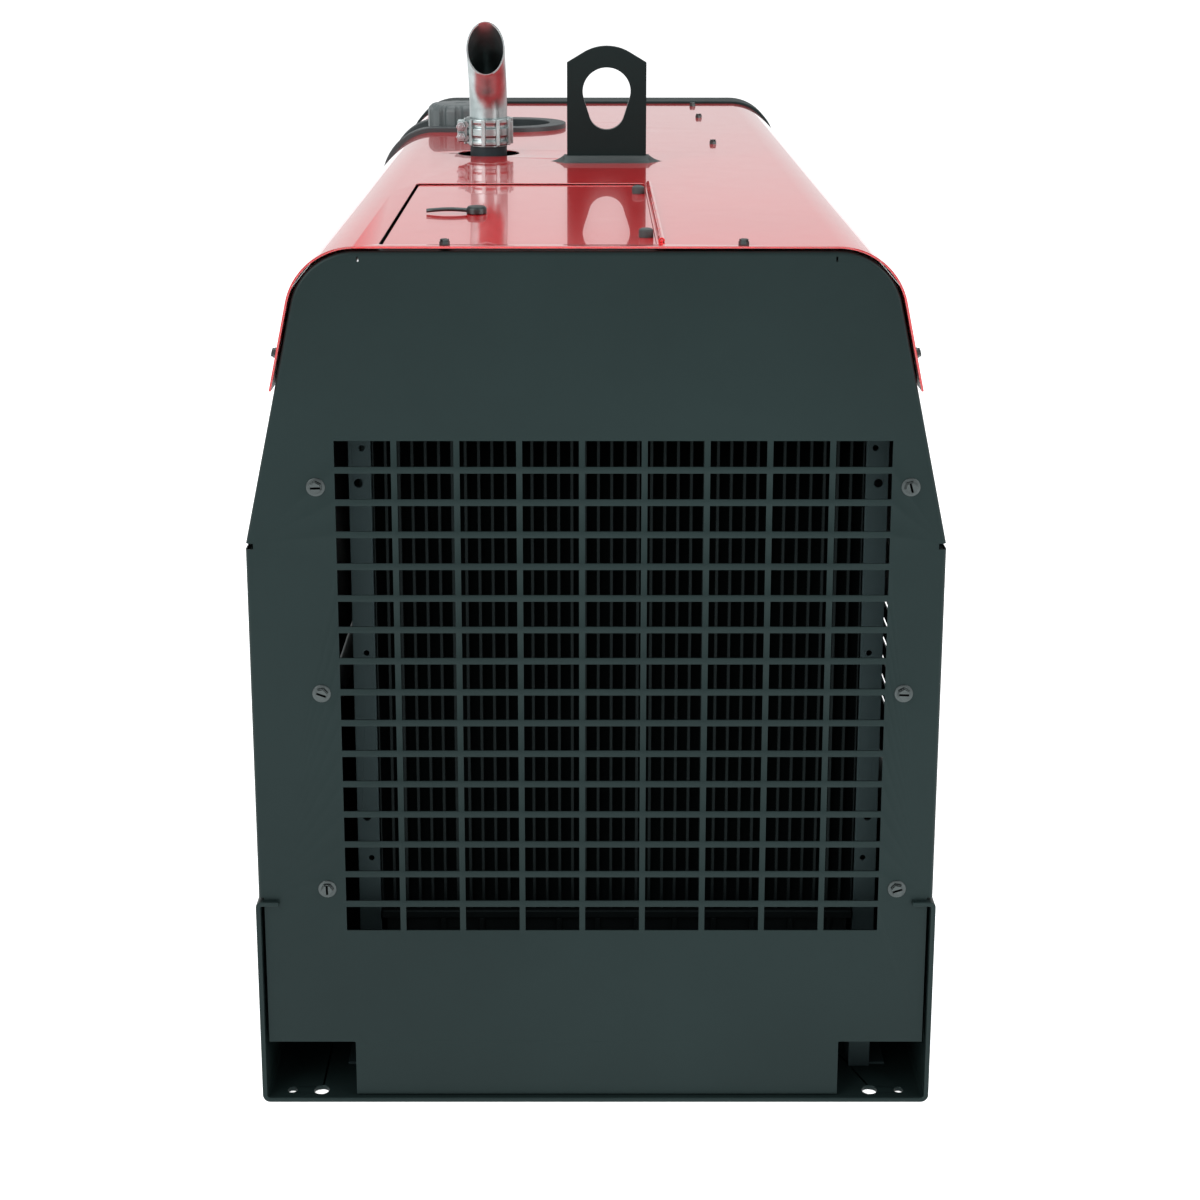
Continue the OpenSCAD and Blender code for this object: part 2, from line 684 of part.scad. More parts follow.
module coolant_hoses() color("black") {
    back = core_y[1] + 5;
    pipe([[120, back, 770], [120, -540, 770], [80, -500, 605], [80, block_y[0], 605]], 20);
    pipe([[-120, back, 160], [-120, -500, 160], [-86, -470, 285], [-86, block_y[0], 285]], 17);
}

// ---- engine ----

module engine_block() color("gray") difference() {
    union() {
        translate([engine_x - case_half, block_y[0], 260]) cube([2*case_half, block_y[1] - block_y[0], 210]);
        translate([engine_x - head_half, block_y[0], 469]) cube([2*head_half, block_y[1] - block_y[0], 171]);
        on_y(engine_x, block_y[0] - 20, fan_z) cylinder(30, r = 30);
        for (s = [-1, 1]) {
            translate([engine_x + s*rail_x - boss/2, mount_y[0] - boss/2, foot_z]) cube([boss, boss, 12]);
            translate([engine_x + s*rail_x - 15, mount_y[0] - 20, foot_z]) cube([30, 40, 170]);
            translate([engine_x + s*118 - 14, mount_y[0] - 20, foot_z + 140]) cube([28, 40, 60]);
        }
    }
    translate([engine_x - 95, block_y[0] + 20, 250]) cube([190, block_y[1] - block_y[0] - 40, 180]);
    on_y(engine_x, block_y[0] - 30, crank_z) cylinder(600, r = journal_r + run);
    on_y(engine_x, block_y[0] - 30, fan_z) cylinder(45, r = shaft_r + run);
}

module valve_cover() color("dimgray") {
    translate([engine_x - 75, block_y[0] + 20, 640]) cube([150, block_y[1] - block_y[0] - 40, 52]);
    translate([engine_x + 20, -60, 690]) cylinder(14, r = 22);
}

module oil_pan() color("black") difference() {
    translate([engine_x - 110, block_y[0] + 10, 182]) cube([220, block_y[1] - block_y[0] - 20, 78]);
    translate([engine_x - 106, block_y[0] + 14, 186]) cube([212, block_y[1] - block_y[0] - 28, 80]);
}

module air_cleaner() color("black") {
    on_y(163, -250, 640) cylinder(240, r = 58);
    translate([engine_x + head_half, -120, 600]) rotate([0, 90, 0]) cylinder(40, r = 22);
}

module crankshaft() color("silver") {
    on_y(engine_x, belt_y[0] - 10, crank_z) cylinder(block_y[1] - belt_y[0] + 16, r = journal_r);
    on_y(engine_x, belt_y[0], crank_z) cylinder(belt_y[1] - belt_y[0], r = pulley_r[0]);
    for (i = [0:3]) on_y(engine_x, block_y[0] + 60 + 100*i, crank_z) cylinder(40, r = 62);
    on_y(engine_x, block_y[1] + 6, crank_z) cylinder(24, r = 140);
}

module drive_belt() color("black") {
    wheels = [[engine_x, crank_z, pulley_r[0]], [engine_x, fan_z, pulley_r[1]],
        [alt_pos[0], alt_pos[1], pulley_r[2]]];
    along(belt_y[0] + 1, belt_y[1] - 1) difference() {
        hull() for (w = wheels) translate([w[0], w[1]]) circle(w[2] + belt_t, $fn = 96);
        hull() for (w = wheels) translate([w[0], w[1]]) circle(w[2] + seat, $fn = 96);
    }
}

module alternator() color("silver") difference() {
    union() {
        on_y(alt_pos[0], -440, alt_pos[1]) cylinder(130, r = 60);
        translate([alt_pos[0], -410, alt_pos[1] - 25]) cube([engine_x - head_half - alt_pos[0], 60, 50]);
    }
    on_y(alt_pos[0], -445, alt_pos[1]) cylinder(60, r = 8 + run);
}

module alternator_pulley() color("silver") {
    on_y(alt_pos[0], belt_y[0], alt_pos[1]) cylinder(belt_y[1] - belt_y[0], r = pulley_r[2]);
    on_y(alt_pos[0], belt_y[0], alt_pos[1]) cylinder(80, r = 8);
}

module generator_stator() color("gray") difference() {
    union() {
        on_y(engine_x, block_y[1], crank_z) cylinder(500, r = barrel_r);
        for (s = [-1, 1]) translate([engine_x + s*rail_x - boss/2, mount_y[1] - boss/2, foot_z])
            cube([boss, boss, 64]);
    }
    on_y(engine_x, block_y[1] - 1, crank_z) cylinder(121, r = barrel_r - 35);
    on_y(engine_x, block_y[1] + 100, crank_z) cylinder(320, r = rotor_r + 3);
    on_y(engine_x, block_y[1] + 400, crank_z) cylinder(85, r = barrel_r - 35);
    on_y(engine_x, block_y[1] + 400, crank_z) cylinder(120, r = 25 + run);
    for (i = [0:7]) translate([engine_x, block_y[1] + 470, crank_z]) rotate([0, 45*i + 22.5, 0])
        translate([0, 0, 100]) rotate([-90, 0, 0]) cylinder(40, r = 22);
}

module generator_rotor() color("silver") {
    on_y(engine_x, block_y[1] + 30, crank_z) cylinder(480, r = 25);
    on_y(engine_x, block_y[1] + 125, crank_z) cylinder(270, r = rotor_r);
    on_y(engine_x, block_y[1] + 50, crank_z) cylinder(30, r = 155);
}

module battery() color("black") {
    translate([-320, -45, base_t]) cube([170, 230, 190]);
    for (x = [-295, -175]) translate([x, -10, base_t + 190]) cylinder(16, r = 9);
}

module power_module() color("gray") {
    translate([-210, 625, base_t]) cube([420, 100, 60]);
    for (i = [0:13]) translate([-205 + 30*i, 630, base_t + 60]) cube([6, 90, 70]);
}

// ---- controls ----

module output_studs() color("gold") for (k = [-1, 1])
    translate([(cover_x[0] + cover_x[1])/2 + stud_in*k, panel_y, stud_z]) {
        rotate([90, 0, 0]) translate([0, 0, -25]) cylinder(60, r = stud_r);
        on_y(0, seat, 0) cylinder(4, r = 18);
    }

module cover_knuckle(axis, x0, x1) {
    translate([x0, axis[0], axis[1]]) rotate([0, 90, 0]) cylinder(x1 - x0, r = hinge_r);
}

module hinged_box(xs, axis, depth, low) {
    top = axis[1] - 6;
    difference() {
        union() {
            difference() {
                translate([xs[0], panel_y + 2, low]) cube([xs[1] - xs[0], depth, top - low]);
                translate([xs[0] + 3, panel_y, low - 1]) cube([xs[1] - xs[0] - 6, depth - 1, top - low - 2]);
            }
            for (x = [xs[0] + 20, xs[1] - 50]) {
                cover_knuckle(axis, x, x + 30);
                translate([x, axis[0] - 1, top - 3]) cube([30, 3, 7]);
            }
        }
        cover_knuckle_bore(axis, xs);
    }
}

module cover_knuckle_bore(axis, xs) {
    translate([xs[0], axis[0], axis[1]]) rotate([0, 90, 0]) cylinder(xs[1] - xs[0], r = cover_pin_r + run);
}

module hinge_mount(axis, xs) {
    for (x = [xs[0] + 51, xs[1] - 51 - 20]) {
        cover_knuckle(axis, x, x + 20);
        translate([x, panel_y, axis[1] - 4]) cube([20, axis[0] - panel_y, 8]);
    }
    translate([xs[0] + 19, axis[0], axis[1]]) rotate([0, 90, 0])
        cylinder(xs[1] - xs[0] - 38, r = cover_pin_r);
}

module output_cover() color("dimgray") hinged_box(cover_x, cover_axis, 28, 290);
module receptacle_lid() color("dimgray") hinged_box(lid_x, lid_axis, 24, 440);

module knob(p, r) on_y(p[0], panel_y, p[1]) {
    translate([0, 0, 0.4]) cylinder(4, r = r + 3);
    difference() {
        translate([0, 0, 0.4]) cylinder(knob_h, r = r, $fn = 48);
        for (i = [0:9]) rotate(36*i) translate([r + 3, 0, 5]) cylinder(30, r = 5);
    }
    translate([0, 0, -12]) cylinder(13, r = stem_r);
}

module output_knob() color("black") knob(knob_pos, knob_r);
module arc_knob() color("black") knob(arc_pos, 20);

module mode_selector() color("black") on_y(mode_pos[0], panel_y, mode_pos[1]) {
    translate([0, 0, 0.4]) cylinder(6, r = 26);
    translate([-6, -26, 0.4]) cube([12, 52, 20]);
    translate([0, 0, -12]) cylinder(13, r = stem_r);
}

module run_switch() color("silver") on_y(switch_pos[0], panel_y, switch_pos[1]) {
    sphere(switch_r - 0.5);
    rotate([0, 90, 0]) cylinder(2*switch_r - 0.4, r = 2, center = true);
    cylinder(knob_h, r = 3);
}

module start_button() color("red") on_y(button_pos[0], panel_y, button_pos[1]) {
    translate([0, 0, 7]) cylinder(8, r = 13);
    translate([0, 0, -12]) cylinder(20, r = button_r);
}

module receptacles() color("black") {
    for (x = [-245, -180]) difference() {
        translate([x - 20, panel_y, 450]) cube([40, 6, 66]);
        for (z = [468, 496]) on_y(x, panel_y + 2, z) cylinder(6, r = 6);
    }
    on_y(-200, panel_y, 350) difference() {
        cylinder(12, r = 34);
        translate([0, 0, 2]) cylinder(12, r = 26);
    }
    hinge_mount(cover_axis, cover_x);
    hinge_mount(lid_axis, lid_x);
}

module gauges() color("black") {
    for (x = gauge_x) on_y(x, panel_y, gauge_z) {
        cylinder(4, r = 27);
        tube(30, 27, 8);
    }
    for (i = [0:5]) on_y(-70 + 28*i, panel_y, 560) cylinder(6, r = 8);
}

base_tray();
base_rails();
rubber_mounts();
end_panel();
panel_screws();
hood();
hood_screws();
lift_frame();
lift_bail();
bail_boot();
muffler();
exhaust_downpipe();
exhaust_elbow();
exhaust_clamp();
fuel_spill_tray();
fuel_cap_insert();
fuel_cap();
fuel_tank();
front_frame();
control_panel();
side_panels();
left_door();
right_door();
left_door_latch();
right_door_latch();
door_hinges();
filler_door();
filler_door_hinge();
filler_door_latch();
filler_door_bumpers();
radiator_core();
radiator_tanks();
radiator_brackets();
radiator_cap();
fan_shroud();
fan();
coolant_hoses();
engine_block();
valve_cover();
oil_pan();
air_cleaner();
crankshaft();
drive_belt();
alternator();
alternator_pulley();
generator_stator();
generator_rotor();
battery();
power_module();
bulkhead();
output_studs();
output_cover();
output_knob();
arc_knob();
mode_selector();
run_switch();
start_button();
receptacles();
receptacle_lid();
gauges();
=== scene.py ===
"""Engine driven welder: the look of its sheet metal case, grille, stack, lifting eye and controls."""

import json
import math

import bmesh
import bpy
import numpy as np
from bpy.props import FloatProperty, FloatVectorProperty, IntProperty, PointerProperty
from mathutils import Matrix, Vector
from mathutils.geometry import tessellate_polygon


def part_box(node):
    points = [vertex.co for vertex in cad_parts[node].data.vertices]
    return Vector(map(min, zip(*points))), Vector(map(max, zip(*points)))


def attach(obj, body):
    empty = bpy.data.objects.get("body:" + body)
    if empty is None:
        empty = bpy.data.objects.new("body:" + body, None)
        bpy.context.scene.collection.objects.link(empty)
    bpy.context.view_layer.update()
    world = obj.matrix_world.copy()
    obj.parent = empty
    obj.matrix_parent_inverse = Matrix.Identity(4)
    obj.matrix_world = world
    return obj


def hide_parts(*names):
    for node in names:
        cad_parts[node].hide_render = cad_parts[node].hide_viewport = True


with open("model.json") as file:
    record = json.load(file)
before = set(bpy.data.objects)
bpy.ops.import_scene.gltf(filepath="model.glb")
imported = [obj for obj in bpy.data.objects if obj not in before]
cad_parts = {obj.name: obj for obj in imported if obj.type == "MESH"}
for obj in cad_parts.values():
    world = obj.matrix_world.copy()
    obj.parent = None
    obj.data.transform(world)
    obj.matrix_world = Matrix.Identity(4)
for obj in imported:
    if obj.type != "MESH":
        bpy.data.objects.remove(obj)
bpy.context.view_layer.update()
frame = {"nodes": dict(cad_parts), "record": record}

bl_info = {
    "name": "Engine driven welder",
    "version": (1, 0, 0),
    "blender": (4, 5, 0),
    "location": "View3D > Sidebar > Welder",
    "description": "Builds the finished look of an engine driven welder",
    "category": "Add Mesh",
}

MM = 0.001
RECORD = frame["record"]
BODY_OF = {node: body for body, nodes in RECORD["behaviour"]["bodies"].items() for node in nodes}


def low(node):
    """Lowest corner of a CAD node, in millimetres."""
    return np.array(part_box(node)[0])/MM


def high(node):
    """Highest corner of a CAD node, in millimetres."""
    return np.array(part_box(node)[1])/MM


def middle(node):
    """The middle of a CAD node's box."""
    return (low(node) + high(node))/2


HOOD_TOP = high("hood")[2]
HALF_W = high("base_tray")[0]
SIDE_X = high("side_panels")[0]
FACE_Y = low("hood")[1]
HOOD_END = high("hood")[1]
HOOD_LOW = low("hood")[2]
BASE_TOP = high("base_tray")[2]
LEVER_AT = (-128, -560)
BUMPER_X, BUMPER_Y = 50, (-723, -396)
KNOB_GAP = 0.4
ALONG = (0, 1, 0)


# ---- sizes and colours that a user would change ----

class CaseSettings(bpy.types.PropertyGroup):
    shoulder_in: FloatProperty(
        name="Shoulder set-in", description="From the tray's side to the start of the shoulder, mm",
        default=118.5, min=60, max=160)
    shoulder_r: FloatProperty(
        name="Shoulder radius", description="Radius of the rounded shoulder, mm", default=68, min=30, max=90)
    side_slope: FloatProperty(
        name="Side slope", description="Lean of the upper sides", default=math.radians(12), subtype="ANGLE")
    sheet_in: FloatProperty(
        name="Sheet set-in", description="End and side sheets, inside the hood's skin, mm", default=2.9)
    sheet_t: FloatProperty(name="Sheet thickness", description="Thickness of the sheets, mm", default=2.0)
    bend_r: FloatProperty(name="Bend radius", description="Outer radius of the folded edges, mm", default=4.0)
    enamel: FloatVectorProperty(
        name="Enamel", description="Colour of the hood", subtype="COLOR", default=(0.72, 0.014, 0.020))
    coat_black: FloatVectorProperty(
        name="Black coat", description="Colour of the powder coated sheets", subtype="COLOR",
        default=(0.0080, 0.0145, 0.0143))


class CoolingSettings(bpy.types.PropertyGroup):
    tube_pitch: FloatProperty(
        name="Tube pitch", description="Distance between the core's tubes, mm", default=13.5, min=8, max=20)
    fin_pitch: FloatProperty(
        name="Fin pitch", description="Distance between the folds of a fin, mm", default=3.6, min=2.5, max=8)
    open_w: FloatProperty(name="Opening width", description="Width of a grille opening, mm", default=56)
    open_h: FloatProperty(name="Opening height", description="Height of a grille opening, mm", default=26.7)
    bar_w: FloatProperty(name="Upright bar", description="Width of the grille's upright bars, mm", default=6)
    bar_h: FloatProperty(name="Level bar", description="Height of the grille's level bars, mm", default=6.6)
    cols: IntProperty(name="Columns", description="Grille openings across", default=9)
    rows: IntProperty(name="Rows", description="Grille openings up", default=16)
    low_z: FloatProperty(
        name="Lowest opening", description="Height of the grille's lower edge, mm", default=196)


class StageSettings(bpy.types.PropertyGroup):
    lens: FloatProperty(name="Lens", description="Focal length on a 36 mm wide sensor", default=61.6)
    stand_back: FloatProperty(
        name="Stand back", description="From the lens to the radiator end", default=1.96, unit="LENGTH")
    eye_height: FloatProperty(
        name="Eye height", description="Height of the lens", default=1.23, unit="LENGTH")
    tilt: FloatProperty(
        name="Tilt", description="How far the camera looks down", default=math.radians(12.6), subtype="ANGLE")
    shift: FloatProperty(name="Shift", description="Vertical lens shift", default=-0.19)


def case():
    """The case's settings."""
    return bpy.context.scene.welder_case


def cooling():
    """The settings of the grille and the core."""
    return bpy.context.scene.welder_cooling


# ---- shapes: each is (points, faces), in millimetres ----

def joined(*shapes):
    """One shape from several: points are stacked and face numbers moved on."""
    points, faces, start = [], [], 0
    for p, f in shapes:
        p = np.asarray(p, float).reshape(-1, 3)
        points.append(p)
        faces += [[i + start for i in face] for face in f]
        start += len(p)
    return np.vstack(points), faces


def grid(p, wrap_u=False, wrap_v=False):
    """Quads over an array of points [u, v]; a wrapped direction joins its last row to its first."""
    nu, nv = p.shape[:2]
    u = np.arange(nu if wrap_u else nu - 1)
    v = np.arange(nv if wrap_v else nv - 1)
    a, b = np.meshgrid(u, v, indexing="ij")
    a2, b2 = (a + 1) % nu, (b + 1) % nv
    quads = np.stack([a*nv + b, a2*nv + b, a2*nv + b2, a*nv + b2], -1).reshape(-1, 4)
    return p.reshape(-1, 3), quads.tolist()


def caps(nu, nv):
    """End faces of a grid whose second direction is closed: its first ring and its last."""
    return [list(range(nv))[::-1], list(range((nu - 1)*nv, nu*nv))]


def solid(rings):
    """Rings of points joined in order into a closed solid, with a face on each end."""
    p = np.stack(rings)
    points, faces = grid(p, wrap_v=True)
    return points, faces + caps(*p.shape[:2])


def lathe(profile, n=48, at=(0, 0, 0), axis=(0, 0, 1), flute=None):
    """A profile of (radius, height) turned about an axis. flute(angle) scales the radius round the turn."""
    profile = np.asarray(profile, float)
    a = np.linspace(0, 2*np.pi, n, endpoint=False)
    k = np.ones_like(a) if flute is None else flute(a)
    r = profile[:, :1]*k[None, :]
    p = np.stack([r*np.cos(a), r*np.sin(a), np.repeat(profile[:, 1:], n, 1)], -1)
    turn = np.array(Vector(axis).to_track_quat("Z", "Y").to_matrix())
    shape = grid(p @ turn.T + np.asarray(at, float), wrap_v=True)
    return shape[0], shape[1] + caps(len(profile), n)


def rod(a, b, r, n=24, bevel=0.0):
    """A round bar from a to b with its end corners eased by bevel."""
    a, b = np.asarray(a, float), np.asarray(b, float)
    length = np.linalg.norm(b - a)
    e = min(bevel, r*0.9, length/2.1)
    profile = [(r, 0), (r, length)] if e == 0 else [(r - e, 0), (r, e), (r, length - e), (r - e, length)]
    return lathe(profile, n, a, (b - a)/length)


def ring(r, n=24):
    """Points round a circle."""
    a = np.linspace(0, 2*np.pi, n, endpoint=False)
    return np.stack([r*np.cos(a), r*np.sin(a)], -1)


def block(lo, hi):
    """A box between two corners."""
    (x0, y0, z0), (x1, y1, z1) = lo, hi
    p = [(x, y, z) for z in (z0, z1) for x, y in ((x0, y0), (x1, y0), (x1, y1), (x0, y1))]
    faces = [[3, 2, 1, 0], [4, 5, 6, 7], [0, 1, 5, 4], [1, 2, 6, 5], [2, 3, 7, 6], [3, 0, 4, 7]]
    return np.array(p, float), faces


def span_block(x, y, z):
    """A box over three ranges, each given in either order."""
    ends = [sorted(pair) for pair in (x, y, z)]
    return block([e[0] for e in ends], [e[1] for e in ends])


def filled(outline, holes=()):
    """Triangles over a flat outline [(u, v)] with holes."""
    loops = [np.asarray(outline, float), *[np.asarray(h, float) for h in holes]]
    tris = tessellate_polygon([[Vector((u, v, 0)) for u, v in loop] for loop in loops])
    return np.vstack(loops), [list(t) for t in tris]


def plate(outline, holes, t, place):
    """A flat sheet with holes and thickness t. place(u, v, w) puts its own axes in the machine."""
    flat, tris = filled(outline, holes)
    n = len(flat)
    points = np.vstack([place(flat[:, 0], flat[:, 1], np.full(n, w)) for w in (0.0, t)])
    faces = [f[::-1] for f in tris] + [[i + n for i in f] for f in tris]
    start = 0
    for loop in [outline, *holes]:
        m = len(loop)
        i = np.arange(m)
        j = (i + 1) % m
        faces += np.stack([start + i, start + j, start + n + j, start + n + i], -1).tolist()
        start += m
    return points, faces


def rect(u0, v0, u1, v1, r=0.0, n=4):
    """A rectangle's outline, its corners rounded by r."""
    if r <= 0:
        return np.array([(u0, v0), (u1, v0), (u1, v1), (u0, v1)], float)
    centres = ((u1 - r, v0 + r, -90), (u1 - r, v1 - r, 0), (u0 + r, v1 - r, 90), (u0 + r, v0 + r, 180))
    corners = []
    for u, v, start in centres:
        a = np.radians(np.linspace(start, start + 90, n + 1))
        corners.append(np.stack([u + r*np.cos(a), v + r*np.sin(a)], -1))
    return np.vstack(corners)


def disc(u, v, r, n=32):
    """A circle's outline."""
    return ring(r, n) + [u, v]


def mirrored(shape):
    """The shape on the other side of the machine's middle plane."""
    p, f = shape
    return p*[-1, 1, 1], [face[::-1] for face in f]


def turned(shape, angle, axis, at=(0, 0, 0)):
    """The shape turned about an axis through its own origin, then moved."""
    m = np.array(Matrix.Rotation(angle, 3, Vector(axis)))
    return shape[0] @ m.T + np.asarray(at, float), shape[1]


def arc(cu, cv, r, a0, a1, n):
    """Points on an arc, angles in degrees."""
    a = np.radians(np.linspace(a0, a1, n))
    return np.stack([cu + r*np.cos(a), cv + r*np.sin(a)], -1)


def at_y(line, y):
    """Profile points [(x, z)] put at one station along the machine."""
    return np.column_stack([line[:, 0], np.full(len(line), y), line[:, 1]])


def prism(line, y0, y1):
    """A closed profile [(x, z)] run from y0 to y1, its ends filled."""
    return solid([at_y(line, y0), at_y(line, y1)])


# ---- the case's section ----

def case_side(d, z0, n=40):
    """Right half of the case's outline set in by d: up the side, along the lean, round the shoulder."""
    c = case()
    lean = c.side_slope
    cu, cv = HALF_W - c.shoulder_in, HOOD_TOP - c.shoulder_r
    r = c.shoulder_r - d
    side = SIDE_X + c.sheet_in - d
    reach = cu + r/math.cos(lean)
    knee = cv - (side - cu - r/math.cos(lean))/math.tan(lean)
    foot = [(side, z0), (side, knee)] if z0 < knee else [(reach + (cv - z0)*math.tan(lean), z0)]
    return np.vstack([foot, arc(cu, cv, r, math.degrees(lean), 90, n)])


def skin(line, ys):
    """A profile line [(x, z)] run along the machine through the stations ys."""
    return grid(np.stack([at_y(line, y) for y in ys]))


# ---- putting a shape into the scene ----

def finish_mesh(ob, bevel, segments, angle):
    """Rounded edges and clean shading: Bevel and Weighted Normal."""
    if bevel:
        m = ob.modifiers.new("edges", "BEVEL")
        m.width, m.segments, m.limit_method = bevel*MM, segments, "ANGLE"
        m.angle_limit, m.harden_normals = math.radians(angle), False
        m.use_clamp_overlap = True
    m = ob.modifiers.new("shading", "WEIGHTED_NORMAL")
    m.keep_sharp, m.weight = True, 80


def put(name, shape, node, material, stands_for=True, bevel=0.0, segments=2, angle=35, wall=0.0, weld=True,
        sharp=40):
    """A new piece: mesh, outward faces, modifiers, material and body; the node it stands for is hidden.

    wall thickens an open sheet: inwards from its faces, or outwards when it is negative."""
    points, faces = shape
    mesh = bpy.data.meshes.new(name)
    mesh.from_pydata((np.asarray(points)*MM).tolist(), [], faces)
    bm = bmesh.new()
    bm.from_mesh(mesh)
    if weld:
        bmesh.ops.remove_doubles(bm, verts=bm.verts, dist=1e-6)
    bmesh.ops.recalc_face_normals(bm, faces=bm.faces)
    bm.to_mesh(mesh)
    bm.free()
    mesh.shade_smooth()
    mesh.set_sharp_from_angle(angle=math.radians(sharp))
    ob = bpy.data.objects.new(name, mesh)
    bpy.context.scene.collection.objects.link(ob)
    if wall:
        m = ob.modifiers.new("wall", "SOLIDIFY")
        m.thickness, m.offset, m.use_even_offset = abs(wall)*MM, -1 if wall > 0 else 1, True
    finish_mesh(ob, bevel, segments, angle)
    mesh.materials.append(material)
    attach(ob, BODY_OF[node])
    if stands_for:
        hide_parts(node)
    return ob


def soften(node, material, bevel=1.0, segments=2, angle=35):
    """A merged copy of a CAD node with its flat faces joined and its edges rounded, standing for it."""
    source = frame["nodes"][node]
    bm = bmesh.new()
    bm.from_mesh(source.data)
    bmesh.ops.remove_doubles(bm, verts=bm.verts, dist=2e-6)
    bmesh.ops.dissolve_limit(bm, angle_limit=math.radians(0.4), verts=bm.verts, edges=bm.edges)
    mesh = bpy.data.meshes.new(node + "_finish")
    bm.to_mesh(mesh)
    bm.free()
    mesh.shade_smooth()
    mesh.set_sharp_from_angle(angle=math.radians(40))
    mesh.materials.append(material)
    ob = bpy.data.objects.new(node + "_finish", mesh)
    bpy.context.scene.collection.objects.link(ob)
    finish_mesh(ob, bevel, segments, angle)
    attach(ob, BODY_OF[node])
    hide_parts(node)
    return ob


# ---- materials: each is worked out on object coordinates ----

class Nodes:
    """A short hand for wiring a material: a shader with texture, colour and bump links."""

    def __init__(self, name):
        """A new material with its shader and the object's coordinates."""
        self.material = bpy.data.materials.new(name)
        self.material.use_nodes = True
        self.tree = self.material.node_tree
        self.shader = self.tree.nodes["Principled BSDF"]
        self.coords = self.tree.nodes.new("ShaderNodeTexCoord").outputs["Object"]

    def link(self, a, b):
        """Join an output to an input."""
        self.tree.links.new(a, b)

    def stretched(self, scale):
        """Object coordinates scaled by three factors."""
        m = self.tree.nodes.new("ShaderNodeMapping")
        m.inputs["Scale"].default_value = scale
        self.link(self.coords, m.inputs["Vector"])
        return m.outputs["Vector"]

    def noise(self, scale, detail=3.0, rough=0.5, vector=None):
        """A noise value."""
        t = self.tree.nodes.new("ShaderNodeTexNoise")
        t.inputs["Scale"].default_value = scale
        t.inputs["Detail"].default_value = detail
        t.inputs["Roughness"].default_value = rough
        self.link(vector or self.coords, t.inputs["Vector"])
        return t.outputs["Fac"]

    def cells(self, scale, vector=None):
        """The distance to the nearest of scattered points."""
        t = self.tree.nodes.new("ShaderNodeTexVoronoi")
        t.inputs["Scale"].default_value = scale
        self.link(vector or self.coords, t.inputs["Vector"])
        return t.outputs["Distance"]

    def ramp(self, value, stops):
        """Colours [(place, colour)] spread over a value."""
        r = self.tree.nodes.new("ShaderNodeValToRGB")
        while len(r.color_ramp.elements) < len(stops):
            r.color_ramp.elements.new(0.5)
        for e, (place, colour) in zip(r.color_ramp.elements, stops):
            e.position = place
            e.color = (*colour, 1.0)
        self.link(value, r.inputs["Fac"])
        return r.outputs["Color"]

    def span(self, value, low_value, high_value):
        """A value spread from one number to another."""
        m = self.tree.nodes.new("ShaderNodeMapRange")
        m.inputs["To Min"].default_value = low_value
        m.inputs["To Max"].default_value = high_value
        self.link(value, m.inputs["Value"])
        return m.outputs["Result"]

    def bump(self, height, distance, strength=1.0, under=None):
        """A normal tilted by a height, over another normal if one is given."""
        b = self.tree.nodes.new("ShaderNodeBump")
        b.inputs["Distance"].default_value = distance
        b.inputs["Strength"].default_value = strength
        self.link(height, b.inputs["Height"])
        if under is not None:
            self.link(under, b.inputs["Normal"])
        return b.outputs["Normal"]

    def set(self, **values):
        """Fixed shader inputs, by name with underscores for spaces."""
        for key, value in values.items():
            self.shader.inputs[key.replace("_", " ")].default_value = value

    def use(self, socket, output):
        """A shader input fed by an output."""
        self.link(output, self.shader.inputs[socket])


def shade(colour, k):
    """A colour made lighter or darker by k."""
    return tuple(min(1.0, c*k) for c in colour)


def enamel(name, colour):
    """Baked gloss enamel: a clear coat over colour, with the faint waviness of sprayed paint."""
    m = Nodes(name)
    m.use("Base Color", m.ramp(m.noise(3.0, 4), [(0.3, shade(colour, 0.93)), (0.7, shade(colour, 1.05))]))
    m.use("Roughness", m.span(m.noise(40, 3), 0.16, 0.24))
    m.set(IOR=1.5, Coat_Weight=1.0, Coat_Roughness=0.015, Coat_IOR=1.55)
    wave = m.bump(m.noise(14, 2), 0.0006, 0.05)
    m.use("Normal", wave)
    m.use("Coat Normal", wave)
    return m.material


def powder_coat(name, colour, gloss=0.42, grain=1500):
    """Powder coat: a fine pebbled skin, slightly uneven in tone and shine."""
    m = Nodes(name)
    tone = m.noise(2.2, 5, 0.6)
    m.use("Base Color", m.ramp(tone, [(0.32, shade(colour, 0.86)), (0.68, shade(colour, 1.2))]))
    m.use("Roughness", m.span(m.noise(9, 6, 0.65), gloss - 0.06, gloss + 0.08))
    m.set(IOR=1.5, Specular_IOR_Level=0.18, Specular_Tint=(0.75, 1.0, 1.0, 1.0))
    fine = m.bump(m.noise(grain, 2), 0.00012, 0.5)
    m.use("Normal", m.bump(m.noise(5, 2), 0.0008, 0.12, fine))
    return m.material


def plated(name, colour, rough=0.28, brush=(40, 900, 900)):
    """Plated or bare steel: fine brushing along one direction and patchy dullness."""
    m = Nodes(name)
    grain = m.noise(1.0, 3, 0.6, m.stretched(brush))
    m.use("Base Color", m.ramp(m.noise(60, 4), [(0.3, shade(colour, 0.8)), (0.7, shade(colour, 1.1))]))
    m.use("Roughness", m.span(grain, rough - 0.08, rough + 0.12))
    m.set(Metallic=1.0)
    m.use("Normal", m.bump(grain, 0.00008, 0.35))
    return m.material


